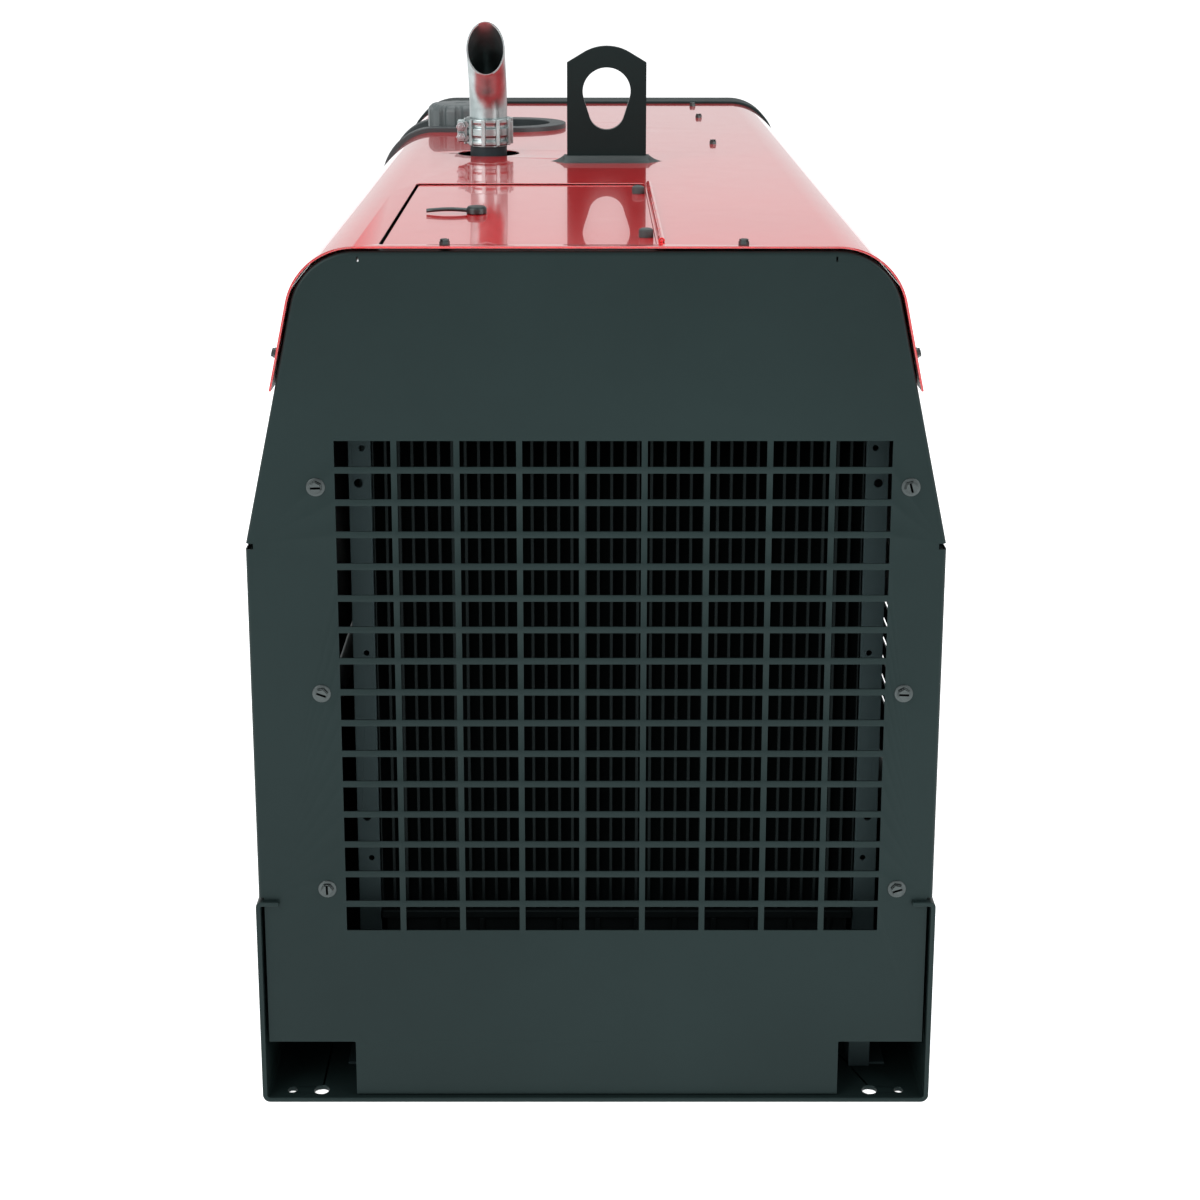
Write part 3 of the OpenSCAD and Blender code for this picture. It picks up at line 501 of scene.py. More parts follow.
def chrome_plate(name):
    """Chrome plate on drawn tube: bright, with faint draw lines and smudges. Its colour is darkened and
    tinted blue-green to offset the red hood's reflection, which is painted light.
    """
    m = Nodes(name)
    smudge = m.noise(28, 5, 0.6)
    # painted light: both colour stops are darkened and tinted blue-green to cancel the hood's red reflection;
    # the smudge noise between them is real
    m.use("Base Color", m.ramp(smudge, [(0.35, (0.27, 0.31, 0.31)), (0.7, (0.45, 0.52, 0.52))]))
    m.use("Roughness", m.span(smudge, 0.26, 0.42))
    m.set(Metallic=1.0)
    m.use("Normal", m.bump(m.noise(1.0, 2, 0.5, m.stretched((500, 500, 25))), 0.00006, 0.3))
    return m.material


def moulded(name, colour, rough=0.5, grain=700, depth=0.00015):
    """Moulded plastic or rubber: a leathery grain and uneven shine."""
    m = Nodes(name)
    m.use("Base Color", m.ramp(m.noise(12, 4), [(0.3, shade(colour, 0.85)), (0.7, shade(colour, 1.15))]))
    m.use("Roughness", m.span(m.noise(25, 4), rough - 0.08, rough + 0.1))
    m.use("Normal", m.bump(m.cells(grain), depth, 0.4))
    return m.material


def cast(name, colour, rough=0.6):
    """Painted casting: coarse sand texture and darker hollows."""
    m = Nodes(name)
    rough_skin = m.noise(260, 6, 0.7)
    m.use("Base Color", m.ramp(m.noise(18, 5), [(0.3, shade(colour, 0.75)), (0.7, shade(colour, 1.15))]))
    m.use("Roughness", m.span(rough_skin, rough - 0.1, rough + 0.15))
    m.use("Normal", m.bump(rough_skin, 0.0006, 0.5))
    return m.material


def wound_copper(name):
    """Varnished copper windings: fine ridges round the axis."""
    m = Nodes(name)
    ridges = m.noise(1.0, 2, 0.5, m.stretched((60, 900, 60)))
    m.use("Base Color", m.ramp(ridges, [(0.35, (0.20, 0.06, 0.02)), (0.65, (0.48, 0.19, 0.07))]))
    m.set(Metallic=0.7, Roughness=0.35)
    m.use("Normal", m.bump(ridges, 0.0004, 0.6))
    return m.material


def dial_face(name):
    """Gauge dial: a pale card, faintly uneven in tone and shine."""
    m = Nodes(name)
    m.use("Base Color", m.ramp(m.noise(90, 2), [(0.3, (0.70, 0.70, 0.68)), (0.7, (0.80, 0.80, 0.78))]))
    m.use("Roughness", m.span(m.noise(200, 2), 0.4, 0.5))
    return m.material


def clear_lens(name):
    """Clear gauge glass with a faint ripple."""
    m = Nodes(name)
    m.use("Base Color", m.ramp(m.noise(30, 2), [(0.3, (0.93, 0.96, 0.95)), (0.7, (1.0, 1.0, 1.0))]))
    m.set(Transmission_Weight=1.0, IOR=1.45)
    m.use("Roughness", m.span(m.noise(80, 2), 0.01, 0.05))
    return m.material


FINISH = {}


def make_finishes():
    """Every finish of the machine, by name."""
    c = case()
    black = tuple(c.coat_black)
    FINISH.update(
        enamel=enamel("red_enamel", tuple(c.enamel)),
        coat=powder_coat("black_powder_coat", black),
        base_coat=powder_coat("base_powder_coat", shade(black, 1.05), 0.40),
        frame_coat=powder_coat("frame_powder_coat", shade(black, 1.2), 0.5, 900),
        panel=powder_coat("panel_texture", shade(black, 1.5), 0.55, 2200),
        bail=powder_coat("eye_plate_coat", shade(black, 0.75), 0.38),
        screw=plated("blackened_screw", (0.07, 0.082, 0.082), 0.36),
        zinc=plated("zinc_plate", (0.40, 0.41, 0.42), 0.36),
        chrome=chrome_plate("chrome_plate"),
        hot_black=powder_coat("heat_black", (0.030, 0.036, 0.040), 0.5, 600),
        rubber=moulded("moulded_rubber", (0.036, 0.046, 0.046), 0.62, 900),
        plastic=moulded("black_plastic", (0.028, 0.036, 0.038), 0.42, 1100),
        grey_plastic=moulded("cap_plastic", (0.075, 0.092, 0.094), 0.40, 1100),
        # fin black: black paint darkened well below its own tone, as painted shade for the core's recess
        # behind the grille
        fins=powder_coat("fin_black_and_painted_shade", (0.0012, 0.0018, 0.0020), 0.6, 800),
        # core block: near black as painted shade for the inside of the core
        tubes=powder_coat("core_block_painted_shade", (0.0014, 0.0020, 0.0022), 0.5, 800),
        bracket=powder_coat("bracket_grey", (0.022, 0.034, 0.036), 0.5, 700),
        iron=cast("engine_grey", (0.085, 0.09, 0.095)),
        pressed=powder_coat("pressed_black", (0.012, 0.013, 0.014), 0.22, 300),
        aluminium=cast("cast_aluminium", (0.42, 0.43, 0.44), 0.45),
        steel=plated("turned_steel", (0.40, 0.41, 0.42), 0.25),
        copper=wound_copper("windings"),
        brass=plated("bright_brass", (0.72, 0.49, 0.19), 0.25, (900, 900, 60)),
        red_button=moulded("red_button", (0.50, 0.012, 0.012), 0.25, 500, 0.00003),
        white=moulded("white_print", (0.72, 0.72, 0.70), 0.45, 900, 0.00003),
        dial=dial_face("dial_card"),
        lens=clear_lens("gauge_glass"),
    )
    FINISH["aluminium"].node_tree.nodes["Principled BSDF"].inputs["Metallic"].default_value = 1.0


# ---- the hood and its filler door ----

def build_hood():
    """The hood as one skin: a flat top and two shoulders.

    The top is cut by the filler door, the stack's hole, the lifting plate's slot and the tray's round notch.
    The shoulders are the case's outline run along the machine, and the left one is open over the tray."""
    cu = HALF_W - case().shoulder_in
    edge = 16.0
    tray_lo, tray_hi = low("fuel_spill_tray"), high("fuel_spill_tray")
    y0, y1 = tray_lo[1] + edge, tray_hi[1] - edge
    stations = np.array([FACE_Y, -400.0, 0.0, y0, y1, 570.0, HOOD_END])
    tray_span = 3
    side = case_side(0, HOOD_LOW, 48)
    right = skin(side, stations)
    p, quads = skin(side*[-1, 1], stations)
    n = len(side)
    open_left = [f for f in quads if not (f[0]//n == tray_span and p[f[0], 2] > HOOD_TOP - 73)]

    door_lo, door_hi = low("filler_door"), high("filler_door")
    gap = 3.0
    door = rect(door_lo[0] - gap, door_lo[1] - gap, low("filler_door_hinge")[0] - 1.8, door_hi[1] + gap, 6)
    stack = disc(middle("exhaust_elbow")[0], middle("exhaust_downpipe")[1] + 146, 41.5, 64)
    bail_lo, bail_hi = low("lift_bail"), high("lift_bail")
    slot = rect(bail_lo[0] - 5, bail_lo[1] - 8, bail_hi[0] + 5, bail_hi[1] + 8, 4)
    r = (y1 - y0)/2
    nose = arc(tray_hi[0] - edge - r, (y0 + y1)/2, r, 90, -90, 32)
    outline = np.vstack([[(cu, y) for y in stations], [(-cu, y) for y in stations[:tray_span:-1]], nose,
                         [(-cu, y) for y in stations[tray_span::-1]]])
    flat, tris = filled(outline, [door, stack, slot])
    top = (np.column_stack([flat, np.full(len(flat), HOOD_TOP)]), tris)
    put("hood_skin", joined(right, (p, open_left), top), "hood", FINISH["enamel"], wall=-2.0, sharp=60)


def curled(r, at, turn0, turn1, thick, y0, y1, n=18):
    """A rolled sheet edge: an arc of wall thick run from y0 to y1."""
    a = np.radians(np.linspace(turn0, turn1, n))
    outer = np.stack([at[0] + r*np.cos(a), at[1] + r*np.sin(a)], -1)
    inner = np.stack([at[0] + (r - thick)*np.cos(a), at[1] + (r - thick)*np.sin(a)], -1)
    return prism(np.vstack([outer, inner[::-1]]), y0, y1)


def build_filler_door():
    """A flat door with its hinge rolled in turns from both leaves, two bumpers and a quarter-turn lever."""
    lo, hi = low("filler_door"), high("filler_door")
    bumper_r = 7.35
    x1 = low("filler_door_bumpers")[0] + 23.35
    top = plate(rect(lo[0], lo[1], x1, hi[1], 6), [disc(*LEVER_AT, 4.2)], -1.6,
                lambda u, v, w: np.column_stack([u, v, HOOD_TOP + w]))
    knuckle_r, knuckle_t, knuckles, end, play = 3.2, 1.3, 7, 11, 0.5
    axis = low("filler_door_hinge")[[0, 2]] + 3.25
    moving, fixed = [top], []
    pitch = (hi[1] - lo[1] - 2*end)/knuckles
    for i in range(knuckles):
        y0 = lo[1] + end + i*pitch + play
        y1 = y0 + pitch - 2*play
        if i % 2:
            moving.append(curled(knuckle_r, axis, -100, 200, knuckle_t, y0, y1))
            moving.append(block((x1 - 1.5, y0, HOOD_TOP - 1.5), (x1 + 4.6, y1, HOOD_TOP + 1.2)))
        else:
            fixed.append(curled(knuckle_r, axis, -20, 280, knuckle_t, y0, y1))
            fixed.append(block((axis[0] + 2.4, y0, HOOD_TOP), (axis[0] + 8, y1, HOOD_TOP + 1.4)))
    pin_end = 9
    fixed.append(rod((axis[0], lo[1] + pin_end, axis[1]), (axis[0], hi[1] - pin_end, axis[1]), 1.6, 16, 0.4))
    put("filler_door_sheet", joined(*moving), "filler_door", FINISH["enamel"], bevel=0.35)
    put("filler_door_hinge_curls", joined(*fixed), "filler_door_hinge", FINISH["enamel"], bevel=0.25)
    profile = [(0.5, 0), (bumper_r, 0), (bumper_r, 6.4), (6.6, 8.2), (4.6, 9), (0.5, 9)]
    bumpers = [lathe(profile, 32, (BUMPER_X, y, HOOD_TOP)) for y in BUMPER_Y]
    put("filler_bumpers", joined(*bumpers), "filler_door_bumpers", FINISH["rubber"], bevel=0.3)
    build_lever()


def build_lever():
    """A dished head on a spindle with a bar that narrows to its tip, and the tongue under the door."""
    (x, y), z = LEVER_AT, HOOD_TOP + 0.3
    head = lathe([(1, 0), (10.5, 0), (11, 1), (11, 5.5), (9, 8), (5, 8.6), (1, 8.6)], 40, (x, y, z))
    steps, round_n, under = 24, 16, 8
    t = np.linspace(0, 1, steps)
    path = np.column_stack([x - 4 - 50*t, np.full(steps, y), z + 3.0 + 1.6*np.sin(np.pi*t)])
    half_w = 4.2 - 1.2*t
    half_w[-3:] *= (0.9, 0.7, 0.35)
    loops = [ring(1.0, round_n)*[w, 2.2] for w in half_w]
    bar = solid([np.column_stack([np.full(round_n, q[0]), q[1] + loop[:, 0], q[2] + loop[:, 1]])
                 for q, loop in zip(path, loops)])
    spindle = rod((x, y, HOOD_TOP - under), (x, y, z + 1), 3.9, 20)
    tongue = plate(np.vstack([arc(x, y, 8, -90, 90, 12), arc(x - 24, y, 6, 90, 270, 12)]), [], 3,
                   lambda u, v, w: np.column_stack([u, v, HOOD_TOP - under + w]))
    put("filler_lever", joined(head, bar, spindle, tongue), "filler_door_latch", FINISH["screw"], bevel=0.4)


def hex_washer_screw(at, out, washer_r, height, spin):
    """A slotted hex washer head: a dished flange, and a chamfered hexagon in two halves beside its slot."""
    flange = lathe([(0.3, 0), (washer_r, 0), (washer_r, height*0.10), (washer_r*0.92, height*0.2),
                    (washer_r*0.7, height*0.24), (0.3, height*0.24)], 36)
    a = np.radians(np.arange(6)*60 + 30) + spin
    r, narrow = washer_r*0.72, 0.86
    rim = np.column_stack([narrow*r*np.cos(a), narrow*r*np.sin(a)])
    slot_half, slot_floor = washer_r*0.11, height*0.72
    ahead = np.array([math.cos(spin), math.sin(spin)])
    across = np.array([-ahead[1], ahead[0]])
    inner = r*narrow*math.cos(math.radians(30))
    halves = []
    for s in (1, -1):
        side = [p for p in rim if np.dot(p, across)*s > slot_half]
        side.sort(key=lambda p: -s*np.dot(p, ahead))
        line = [inner*ahead*s + across*s*slot_half, *side, -inner*ahead*s + across*s*slot_half]
        halves.append(plate(np.array(line), [], height - slot_floor,
                            lambda u, v, w: np.column_stack([u, v, slot_floor + w])))
    floor_r, floor_z = r*0.8, slot_floor - 0.6
    floor = lathe([(0.3, floor_z), (floor_r, floor_z), (floor_r, slot_floor), (0.3, slot_floor)], 12)
    stub = solid([np.column_stack([r*np.cos(a), r*np.sin(a), np.full(6, z)])
                  for z in (height*0.2, slot_floor)])
    shape = joined(flange, stub, floor, *halves)
    turn = np.array(Vector(out).to_track_quat("Z", "Y").to_matrix())
    return shape[0] @ turn.T + np.asarray(at, float), shape[1]


def build_screws():
    """Slotted hex washer screws of the hood and of the end sheets, each turned its own way."""
    draw = np.random.default_rng(7)
    slope = case().side_slope
    drop = 108
    heads = [((x, FACE_Y + 9, HOOD_TOP), (0, 0, 1)) for x in (-147, 143)]
    for s in (-1, 1):
        heads += [((s*166, y, HOOD_TOP), (0, 0, 1)) for y in (107, 484, 680)]
        x = case_side(0, HOOD_TOP - drop)[0, 0]
        out = (s*math.cos(slope), 0, math.sin(slope))
        heads += [((s*x, y, HOOD_TOP - drop), out) for y in (FACE_Y + 20, 690)]
    shapes = [hex_washer_screw(at, out, 7.35, 8, draw.uniform(0, 6.28)) for at, out in heads]
    put("hood_screw_heads", joined(*shapes), "hood_screws", FINISH["screw"], bevel=0.25, weld=False)
    face = high("control_panel")[1]
    ends = [((x, FACE_Y, z), (0, -1, 0), 9.5) for x in (-278, 312) for z in (243, 458, 675)]
    ends += [((x, face, z), (0, 1, 0), 8) for x in (-315, 315) for z in (60, 280, 500)]
    ends += [((x, face, HOOD_TOP - 35), (0, 1, 0), 8) for x in (-240, 0, 240)]
    shapes = [hex_washer_screw(at, out, washer_r, 5, draw.uniform(0, 6.28)) for at, out, washer_r in ends]
    put("panel_screw_heads", joined(*shapes), "panel_screws", FINISH["screw"], bevel=0.25, weld=False)


# ---- the radiator end ----

def grille_lattice():
    """The grille's bars as a lattice of quads in [x, z], and the outline round it: openings are left out."""
    g = cooling()
    pitch_u, pitch_v = g.open_w + g.bar_w, g.open_h + g.bar_h
    u0 = middle("engine_block")[0] + 1 - g.cols/2*pitch_u + g.bar_w/2
    us, vs = [], []
    for i in range(g.cols):
        us += [u0 + i*pitch_u, u0 + i*pitch_u + g.open_w]
    for j in range(g.rows):
        vs += [g.low_z + j*pitch_v, g.low_z + j*pitch_v + g.open_h]
    u, v = np.meshgrid(us, vs, indexing="ij")
    n = len(vs)
    faces = [[i*n + j, (i + 1)*n + j, (i + 1)*n + j + 1, i*n + j + 1]
             for i in range(len(us) - 1) for j in range(n - 1) if i % 2 or j % 2]
    border = [(x, vs[0]) for x in us] + [(us[-1], z) for z in vs[1:]] + \
        [(x, vs[-1]) for x in us[-2::-1]] + [(us[0], z) for z in vs[-2:0:-1]]
    return np.column_stack([u.ravel(), v.ravel()]), faces, np.array(border)


def build_end_panel():
    """The radiator end: a face cut by the grille, turned back over a rounded bend along its free edges.

    Each step of the bend moves the outline out by the sine of its turn and back by one less the cosine."""
    c = case()
    d0, r, notch, foot, lift = c.sheet_in, c.bend_r, 3.0, 68.0, 3
    narrow = HALF_W - 8.5
    flange = high("end_panel")[1]
    knee = case_side(d0, 5)[1, 1]
    walls, crown = [], []
    for a in np.radians(np.linspace(0, 90, 6)):
        inset, y = d0 + r*(1 - math.sin(a)), FACE_Y + r*(1 - math.cos(a))
        side = case_side(inset, 5, 36)
        x = side[0, 0]
        over = np.vstack([[(x - 0.4, knee + notch)], side[2:]])
        over = np.vstack([over, over[::-1]*[-1, 1]])
        walls.append([(x, y, BASE_TOP + lift), (x, y, knee - notch)])
        crown.append(at_y(over, y))
    walls.append([(p[0], flange, p[2]) for p in walls[-1]])
    crown.append(crown[-1]*[1, 0, 1] + [0, flange, 0])
    over = crown[0][:, [0, 2]]
    x = walls[0][0][0]
    half = [(narrow, foot), (narrow, BASE_TOP + lift), (x, BASE_TOP + lift), (x, knee - notch),
            (x - 4, knee - notch), (x - 4, knee + notch)]
    # the tongue between the base's corner openings, its upper corners eased where it meets the face
    left, right, tip, ease = -253, 256, 7, 1.5
    tongue = [*arc(left - ease, foot - ease, ease, 90, 0, 5), (left, tip), (right, tip),
              *arc(right + ease, foot - ease + 0.05, ease, 180, 90, 5)]
    outline = np.vstack([tongue, [(narrow, foot + 0.05)], half[1:], over, [(-u, v) for u, v in half[::-1]]])
    points, faces, border = grille_lattice()
    slits = [rect(u, HOOD_TOP - 13, u + 2, HOOD_TOP - 8) for u in (-232, 232)]
    flat, tris = filled(outline, [border, *slits])
    front, bars = (at_y(flat, FACE_Y), tris), (at_y(points, FACE_Y), faces)
    wall = grid(np.array(walls, float))
    sheet = joined(front, bars, wall, mirrored(wall), grid(np.stack(crown)))
    put("end_sheet", sheet, "end_panel", FINISH["coat"], wall=c.sheet_t, sharp=50)


def build_core():
    """Flat upright tubes with zigzag fins folded between them, closed in behind by a dark block for the rest
    of the core. Their near-black colour is partly black paint and partly painted shade for the recess behind
    the grille.
    """
    g = cooling()
    lo, hi = low("radiator_core"), high("radiator_core")
    front, z0, z1 = lo[1], lo[2], hi[2]
    half_tube, tube_deep, body_in = 1.6, 26, 14
    count = int((hi[0] - lo[0])/g.tube_pitch)
    step = (hi[0] - lo[0])/count
    tubes = []
    for i in range(count + 1):
        x = lo[0] + i*step
        tubes.append(block((max(lo[0], x - half_tube), front, z0),
                           (min(hi[0], x + half_tube), front + tube_deep, z1)))
    put("core_tubes", joined(*tubes), "radiator_core", FINISH["fins"], bevel=0.6)
    z = np.linspace(z0, z1, 2*int((z1 - z0)/g.fin_pitch) + 1)
    fold, bow, edge = 8, 1.2, 2.2
    y = front + 2 + np.where(np.arange(len(z)) % 2 == 0, bow, 0.0)
    fins = []
    for i in range(count):
        xa, xb = lo[0] + i*step + half_tube, lo[0] + (i + 1)*step - half_tube
        mid = (xa + xb)/2
        zig = np.stack([np.column_stack([np.full(len(z), x), y + lift, z])
                        for x, lift in ((xa, 0), (mid - edge, 0.3), (mid + edge, 0.3), (xb, 0))])
        zig[0, :, 2] -= g.fin_pitch*0.18
        zig[-1, :, 2] += g.fin_pitch*0.18
        zig[:, 1::2, 1] += fold
        zig[:, :, 2] = np.clip(zig[:, :, 2], z0, z1)
        fins.append(grid(zig))
    put("core_fins", joined(*fins), "radiator_core", FINISH["fins"], weld=False, sharp=20)
    # the block's near-black finish is painted shade for the depth of the core
    body = block((lo[0], front + body_in, z0), (hi[0], hi[1], z1))
    put("core_body", body, "radiator_core", FINISH["tubes"], bevel=1)


def build_tanks():
    """Header tanks with crimped edges, cross ribs and a filler neck."""
    lo, hi = low("radiator_tanks"), high("radiator_tanks")
    core_bottom, core_top = low("radiator_core")[2], high("radiator_core")[2]
    tank_h, crimp, rib_half, ribs = 60, 9, 2.5, 12
    shapes = []
    for seam, s in ((core_bottom, -1), (core_top, 1)):
        shapes.append(span_block((lo[0], hi[0]), (lo[1], hi[1]), (seam, seam + s*crimp)))
        shapes.append(span_block((lo[0] + 5, hi[0] - 5), (lo[1] + 4, hi[1] - 4), (seam, seam + s*tank_h)))
        for k in range(ribs):
            x = lo[0] + 24 + k*(hi[0] - lo[0] - 48)/(ribs - 1)
            shapes.append(span_block((x - rib_half, x + rib_half), (lo[1] + 1, hi[1] - 1),
                                     (seam + s*crimp, seam + s*(tank_h - 2))))
    cap = middle("radiator_cap")
    neck = lathe([(16, 0), (24, 0), (22, 6), (22, 40), (16, 40), (16, 0.5)], 48,
                 (cap[0], cap[1], core_top + tank_h))
    # the tanks take the fins' near-black finish, which includes painted shade
    put("header_tanks", joined(*shapes, neck), "radiator_tanks", FINISH["fins"], bevel=1.2)


def build_brackets():
    """Side brackets of the radiator: folded channels with small and large holes."""
    lo, hi = low("radiator_brackets"), high("radiator_brackets")
    core_x = low("radiator_core")[0] - 1, high("radiator_core")[0] + 1
    t = 3
    shapes = []
    for s, x in zip((-1, 1), core_x):
        holes = [disc(x + s*9, z, 3, 20) for z in (250, 480, 700)] + \
            [disc(x + s*13, z, 4.5, 24) for z in (297, 663)]
        flange = rect(min(x, x + 23*s), lo[2], max(x, x + 23*s), hi[2])
        shapes.append(plate(flange, holes, t, lambda u, v, w: np.column_stack([u, lo[1] + w, v])))
        shapes.append(span_block((x, x + t*s), (lo[1] + t, hi[1]), (lo[2], hi[2])))
        shapes.append(span_block((x, x + 40*s), (lo[1] + t, hi[1]), (lo[2], lo[2] + t)))
    put("radiator_side_brackets", joined(*shapes), "radiator_brackets", FINISH["bracket"], bevel=0.6)


def build_base():
    """The base: a tray folded from thick sheet with rounded lower bends, turned-in lips and end holes."""
    t, r, lip, lip_r, lip_in = 5.0, 8.0, 24.0, 6, 1.2
    y0, y1 = low("base_tray")[1], high("base_tray")[1]
    outer = np.array([(HALF_W - lip, BASE_TOP), *arc(HALF_W - lip_r, BASE_TOP - lip_r, lip_r, 90, 0, 6),
                      *arc(HALF_W - r, r, r, 0, -90, 8)])
    inner = np.array([(HALF_W - lip, BASE_TOP - t),
                      *arc(HALF_W - t - lip_in, BASE_TOP - t - lip_in, lip_in, 90, 0, 4),
                      *arc(HALF_W - r, r, r - t, 0, -90, 8)])
    walls = [prism(np.vstack([outer, inner[::-1]])*[s, 1], y0, y1) for s in (1, -1)]
    end_in = 16
    holes = []
    for sx in (-1, 1):
        for sy in (-1, 1):
            for side_in, hole_r, points in ((60.5, 8, 40), (29.5, 5, 32)):
                holes.append(disc(sx*(HALF_W - side_in), sy*(y1 - end_in), hole_r, points))
    floor = plate(rect(-HALF_W + r, y0, HALF_W - r, y1), holes, t, lambda u, v, w: np.column_stack([u, v, w]))
    put("base_fold", joined(*walls, floor), "base_tray", FINISH["base_coat"], bevel=0.8)


# ---- the exhaust stack and the lifting eye ----

def build_stack():
    """A bent pipe cut off upright and open at the top, held by a ribbed saddle clamp.

    Round the bend the middle line moves back by one less the cosine of its turn, and up by the sine."""
    lo, hi = low("exhaust_elbow"), high("exhaust_elbow")
    r, wall, bend, around = 25.0, 2.0, 60.0, 64
    x, y, bend_z, cut_y = middle("exhaust_elbow")[0], hi[1] - r, HOOD_TOP + 61, lo[1]
    turn = np.radians(np.linspace(0, 45, 20))
    path = [(y, lo[2]), (y, (lo[2] + bend_z)/2),
            *zip(y - bend*(1 - np.cos(turn)), bend_z + bend*np.sin(turn))]
    leans = [0, 0, *turn]
    a = np.linspace(0, 2*np.pi, around, endpoint=False)
    skins = []
    for radius in (r, r - wall):
        rows = [np.column_stack([x + radius*np.cos(a), py + radius*np.sin(a)*np.cos(t),
                                 pz + radius*np.sin(a)*np.sin(t)]) for (py, pz), t in zip(path, leans)]
        last = rows[-1]
        reach = last[:, 1] - cut_y
        for k in np.linspace(0.25, 1, 4):
            rows.append(last + np.column_stack([np.zeros(around), -reach*k, reach*k]))
        skins.append(np.stack(rows))
    outer, inner = skins
    shapes = [grid(outer, wrap_v=True), grid(np.stack([outer[-1], inner[-1]]), wrap_v=True),
              grid(inner[::-1], wrap_v=True), grid(np.stack([inner[0], outer[0]]), wrap_v=True)]
    put("stack_pipe", joined(*shapes), "exhaust_elbow", FINISH["chrome"], sharp=50, bevel=0.35, angle=50)
    build_clamp(x, y)


def build_clamp(x, y):
    """Two saddles closed by bolts: ribs run round the pipe, teeth stand on the rim, nuts sit at the left."""
    z0, z1 = low("exhaust_clamp")[2], high("exhaust_clamp")[2]
    h, inner, teeth, tooth_at = z1 - z0, 25.25, 10, 29.6
    profile = [(inner, 0), (29.0, 0), (30.4, 1.6), (30.4, 6), (28.6, 8), (28.6, 11.5), (30.8, 13),
               (30.8, h - 13), (28.6, h - 11.5), (28.6, h - 8), (30.4, h - 6), (30.4, h - 1.6), (29.0, h),
               (inner, h), (inner, 0.4)]
    shapes = [lathe(profile, 96, (x, y, z0))]
    for k in range(teeth):
        a = math.radians(360/teeth*k + 8)
        tooth = block((-3.2, -2.6, 0.6), (3.2, 2.6, h - 0.6))
        shapes.append(turned(tooth, a, (0, 0, 1), (x + tooth_at*math.cos(a), y + tooth_at*math.sin(a), z0)))
    for s in (-1, 1):
        shapes.append(span_block((x - 41, x - 25), (y + 3.4*s, y + 12*s), (z0 + 4, z0 + 32)))
        shapes.append(span_block((x + 25, x + 32), (y + 3*s, y + 10*s), (z0 + 5, z0 + 31)))
    put("saddle_clamp", joined(*shapes), "exhaust_clamp", FINISH["chrome"], bevel=0.7, weld=False)
    bolt_x, nut_r, ease = x - 36, 6.6, 0.9
    a = np.radians(np.arange(6)*60)
    bolts = []
    for z in (z0 + 11, z0 + 25):
        bolts.append(rod((bolt_x, y - 20, z), (bolt_x, y + 19, z), 3.6, 24, 0.6))
        for ya, yb in ((y - 19, y - 12.5), (y + 12.5, y + 18)):
            ends = ((0.88, ya), (1, ya + ease), (1, yb - ease), (0.88, yb))
            bolts.append(solid([np.column_stack([bolt_x + nut_r*k*np.cos(a), np.full(6, at),
                                                 z + nut_r*k*np.sin(a)]) for k, at in ends]))
    put("clamp_bolts", joined(*bolts), "exhaust_clamp", FINISH["zinc"], bevel=0.3, stands_for=False,
        weld=False)


def build_lifting_eye():
    """A thick plate with a keyhole eye under a round crown between square shoulders, in a moulded boot.

    The crown's arc ends where a straight line from each shoulder touches it. The eye is a large arc over a
    small one, joined where their common tangents meet them."""
    lo, hi = low("lift_bail"), high("lift_bail")
    x, half, t = (lo[0] + hi[0])/2, (hi[0] - lo[0])/2, hi[1] - lo[1]
    crown_r, shoulder_drop, eye_r, foot_r, foot_drop = 58.0, 21, 30.8, 23.0, 26
    eye_z = hi[2] - crown_r
    shoulder, foot = hi[2] - shoulder_drop - eye_z, lo[2] - eye_z
    touch = math.degrees(math.atan2(shoulder, half) + math.acos(crown_r/math.hypot(half, shoulder)))
    outline = np.vstack([[(-half, foot), (half, foot), (half, shoulder)],
                         arc(0, 0, crown_r, touch, 180 - touch, 40), [(-half, shoulder)]]) + [x, eye_z]
    tilt = math.degrees(math.asin((eye_r - foot_r)/foot_drop))
    eye = np.vstack([arc(0, 0, eye_r, -tilt, 180 + tilt, 56),
                     arc(0, -foot_drop, foot_r, 180 + tilt, 360 - tilt, 40)])
    shape = plate(outline, [eye + [x, eye_z]], t, lambda u, v, w: np.column_stack([u, hi[1] - w, v]))
    put("eye_plate", shape, "lift_bail", FINISH["bail"], bevel=1.6, segments=3)
    build_boot(x, (lo[1] + hi[1])/2, half, t/2)


def build_boot(x, y, half, thick):
    """A rubber boot: a six-cornered foot drawn up in a hollow curve to a collar round the plate."""
    lo, hi = low("bail_boot"), high("bail_boot")
    foot = np.array([(hi[0] - x, 0), (52, 30), (-52, 30), (lo[0] - x, 0), (-52, -30), (52, -30)], float)
    corners = np.array([(1, 0), (1, 1), (-1, 1), (-1, 0), (-1, -1), (1, -1)], float)
    rubber, gap, rim, h, per_side = 4, 0.3, 1.6, hi[2] - lo[2], 12

    def fine(loop):
        """The loop with each side cut into equal lengths."""
        t = np.arange(per_side)[:, None]/per_side
        return np.vstack([a*(1 - t) + b*t for a, b in zip(loop, np.roll(loop, -1, 0))])

    def level(loop, z):
        """The loop at one height."""
        return np.column_stack([loop, np.full(len(loop), z)])

    outer = fine(foot)
    collar = fine(corners*[half + rubber, thick + rubber])
    hole = fine(corners*[half + gap, thick + gap])
    rows = [level(outer, 0), level(outer, rim)]
    for t in np.linspace(0.1, 1, 10):
        k = t**0.62
        rows.append(level(outer*(1 - k) + collar*k, rim + (h - rim)*t**1.5))
    rows += [level(hole, h), level(hole, 0)]
    p, f = grid(np.stack(rows), wrap_u=True, wrap_v=True)
    put("eye_boot", (p + [x, y, lo[2]], f), "bail_boot", FINISH["rubber"], bevel=0.6, angle=40)


# ---- fuel ----

